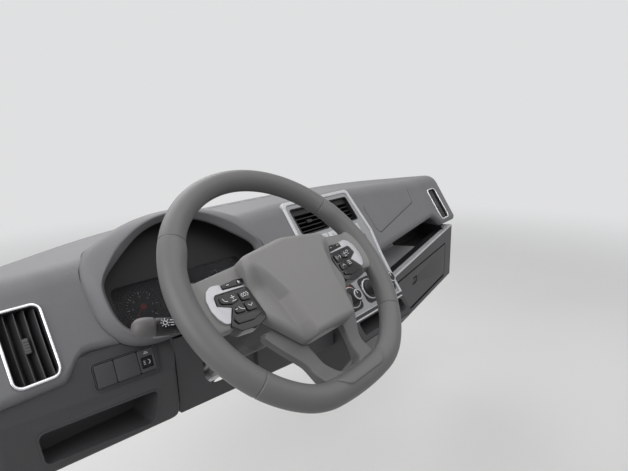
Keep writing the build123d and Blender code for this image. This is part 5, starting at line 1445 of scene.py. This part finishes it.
# %% The shelf's pieces
shelf_strip = Shell().add(belt_sweep(100.6, 689.0, SILVER))
shelf_strip.piece("shelf_strip", "dash", "strip_silver", ["shelf_trim"], 50.0)
Shell().add(belt_sweep(103.0, 640.0, RUBBER)).piece("shelf_rubber", "dash", "key_black", (), 50.0)
shelf_floor = Shell().add(belt_sweep(103.0, 448.0, SHELF_FLOOR))
shelf_floor.piece("shelf_floor", "dash", "shelf_plastic", ["passenger_shelf"])
shelf_pocket = Shell().add(belt_sweep(449.0, 566.0, POCKET)).add(belt_sweep(566.2, 622.0, LOW_POCKET))
shelf_pocket.add(belt_sweep(619.0, 622.0, POCKET_END, 2))
# painted shade: the pocket's dark plastic stands for the shade inside the recess
shelf_pocket.piece("shelf_pocket", "dash", "panel_dark")
Shell().add(belt_sweep(622.0, 687.0, END_CAP, 4)).piece("shelf_end", "dash", "shelf_plastic")

# %% [markdown]
# ## The seam of the air bag's cover
#
# A fine dark seam outlines the air bag's cover on the pad. Its path is drawn as seen from the rear,
# and each point is then dropped straight forward onto the pad's mesh, which is how a flat drawing
# gets onto a curved moulding.

# %% The seam's path and the faces under it
SEAM_CORNERS = [(148, 178), (150, 115), (440, 142), (452, 182)]
seam_loop = rounded_outline(SEAM_CORNERS, [0, 16, 16, 0], 900)
seam_steps = np.linalg.norm(np.roll(seam_loop, -1, 0) - seam_loop, axis=1)
closing_side = float(np.hypot(452 - 148, 182 - 178))
seam_path = seam_loop[np.cumsum(seam_steps) < seam_steps.sum() - closing_side - 1.0][::3]
seam_edge = stroke(seam_path, 1.9)
face_corners = np.empty(len(pad_mesh.loops), np.int32)
pad_mesh.loops.foreach_get("vertex_index", face_corners)
pad_faces = pad_points[face_corners.reshape(-1, 3)]
past_start = pad_faces[..., [0, 2]].max(axis=1) > MM * seam_edge.min(axis=0)
before_end = pad_faces[..., [0, 2]].min(axis=1) < MM * seam_edge.max(axis=0)
near_seam = pad_faces[(past_start & before_end).all(axis=1)]
print("pad faces near the seam:", len(near_seam), "of", len(pad_faces))

# %% Drop the seam onto the pad


def crossed(u, v):
    """Cross product of two arrays of vectors as seen from the rear, u_x v_z - u_z v_x."""
    return u[..., 0] * v[..., 2] - u[..., 2] * v[..., 0]


def dropped(outline, lift_mm):
    """The outline on the pad: each (x, z) at the y of the rearmost face that covers it, less the lift.

    A face a, b, c covers the point p where the weights w = (p - a) x (c - a) / ((b - a) x (c - a))
    and v = (b - a) x (p - a) / ((b - a) x (c - a)) are not negative and add up to 1 at most. Its
    height there is a_y + w (b - a)_y + v (c - a)_y.
    """
    point = MM * np.stack([outline[:, 0], np.zeros(len(outline)), outline[:, 1]], axis=-1)
    a, b, c = (near_seam[:, corner, None] for corner in range(3))
    area = crossed(b - a, c - a)
    area = np.where(np.abs(area) < 1e-12, np.inf, area)
    w = crossed(point - a, c - a) / area
    v = crossed(b - a, point - a) / area
    covers = (w >= -1e-6) & (v >= -1e-6) & (w + v <= 1.0 + 1e-6) & np.isfinite(area)
    y = a[..., 1] + w * (b - a)[..., 1] + v * (c - a)[..., 1]
    point[:, 1] = np.where(covers, y, np.inf).min(axis=0) - lift_mm * MM
    return point


seam_shell = Shell().add(np.stack([dropped(seam_edge, -0.9), dropped(seam_edge, 0.1)]))
seam_shell.piece("air_bag_door_seam", "dash", "key_black")

# %% [markdown]
# ## Floor and soft light
#
# A pale floor under the dashboard, and a world of the same tone, give a plain studio. Far out the
# floor fades into the backdrop's colour, but only for rays that end in the eye. Any other ray finds
# a darker floor that doesn't glow, so it throws little light up at the object. Three large area
# lamps light it softly: one in front, one to the left, and one behind and above.

# %% The floor
BACKDROP_COLOUR = (0.74, 0.745, 0.75)
FLOOR_BELOW = 0.42
FLOOR_REACH = 14.0


def seen_by_eye(nodes):
    """1 for a ray that sees the backdrop straight, in a gloss or through glass, and 0 for light."""
    kinds = ("Is Camera Ray", "Is Glossy Ray", "Is Transmission Ray")
    straight, gloss, through = (nodes.node("ShaderNodeLightPath", output=kind) for kind in kinds)
    return straight.maximum(gloss).maximum(through)


floor_z = cad_box[0][2] - FLOOR_BELOW
SQUARE = ((-1, -1), (1, -1), (1, 1), (-1, 1))
floor_corners = [(x * FLOOR_REACH, y * FLOOR_REACH, floor_z) for x, y in SQUARE]
floor_mesh = bpy.data.meshes.new("floor")
floor_mesh.from_pydata(floor_corners, [], [(0, 1, 2, 3)])
floor = bpy.data.objects.new("floor", floor_mesh)
bpy.context.scene.collection.objects.link(floor)
paper = Finish("studio_paper", 0.9)
paper_x, paper_y = paper.axis("X"), paper.axis("Y")
far_out = (paper_x * paper_x + paper_y * paper_y).power(0.5).fade(1.3, 4.5)
to_the_eye = seen_by_eye(paper)
paper_shade = paper.mix(paper.noise(1.5, 2.0), (0.66, 0.66, 0.65), (0.72, 0.72, 0.71))
paper.feed("Base Color", paper.mix(to_the_eye, (0.30, 0.30, 0.30), paper_shade))
glow = paper.node("ShaderNodeEmission", None, {"Color": BACKDROP_COLOUR, "Strength": 1.0})
blend = {0: far_out * to_the_eye, 1: paper.output_of("Principled BSDF"), 2: glow}
paper.show(paper.node("ShaderNodeMixShader", None, blend), "Material Output")
floor_mesh.materials.append(paper.material)
print("floor at z", round(floor_z, 3))

# %% The world
ROOM_COLOUR = (0.86, 0.87, 0.88)
ROOM_STRENGTH = 0.45
world = bpy.data.worlds.new("studio")
bpy.context.scene.world = world
world.use_nodes = True
studio = NodeTree(world.node_tree)
room_light = studio.tree.nodes["Background"]
room_light.inputs["Color"].default_value = (*ROOM_COLOUR, 1.0)
room_light.inputs["Strength"].default_value = ROOM_STRENGTH
backdrop = studio.node("ShaderNodeBackground", None, {"Color": BACKDROP_COLOUR, "Strength": 1.0})
blend = {0: seen_by_eye(studio), 1: studio.output_of("Background"), 2: backdrop}
studio.show(studio.node("ShaderNodeMixShader", None, blend), "World Output")
print("room light:", ROOM_STRENGTH, "backdrop:", BACKDROP_COLOUR)

# %% The lamps
LAMP_AIM = Vector((-0.1, -0.2, 0.1))
# columns: name, place, size, watts
LAMPS = [
    ("front_light", (0.2, 1.5, 1.9), 2.4, 42.0),
    ("left_light", (-2.3, -0.3, 1.2), 1.9, 32.0),
    ("rear_light", (0.3, -1.5, 2.5), 3.2, 40.0),
]
for name, place, size, watts in LAMPS:
    lamp_data = bpy.data.lights.new(name, "AREA")
    lamp_data.energy = watts
    lamp_data.size = size
    lamp = bpy.data.objects.new(name, lamp_data)
    bpy.context.scene.collection.objects.link(lamp)
    lamp.location = place
    lamp.rotation_euler = (LAMP_AIM - Vector(place)).to_track_quat("-Z", "Y").to_euler()
print("lamps:", len(LAMPS))

bpy.context.scene.view_settings.view_transform = "Standard"
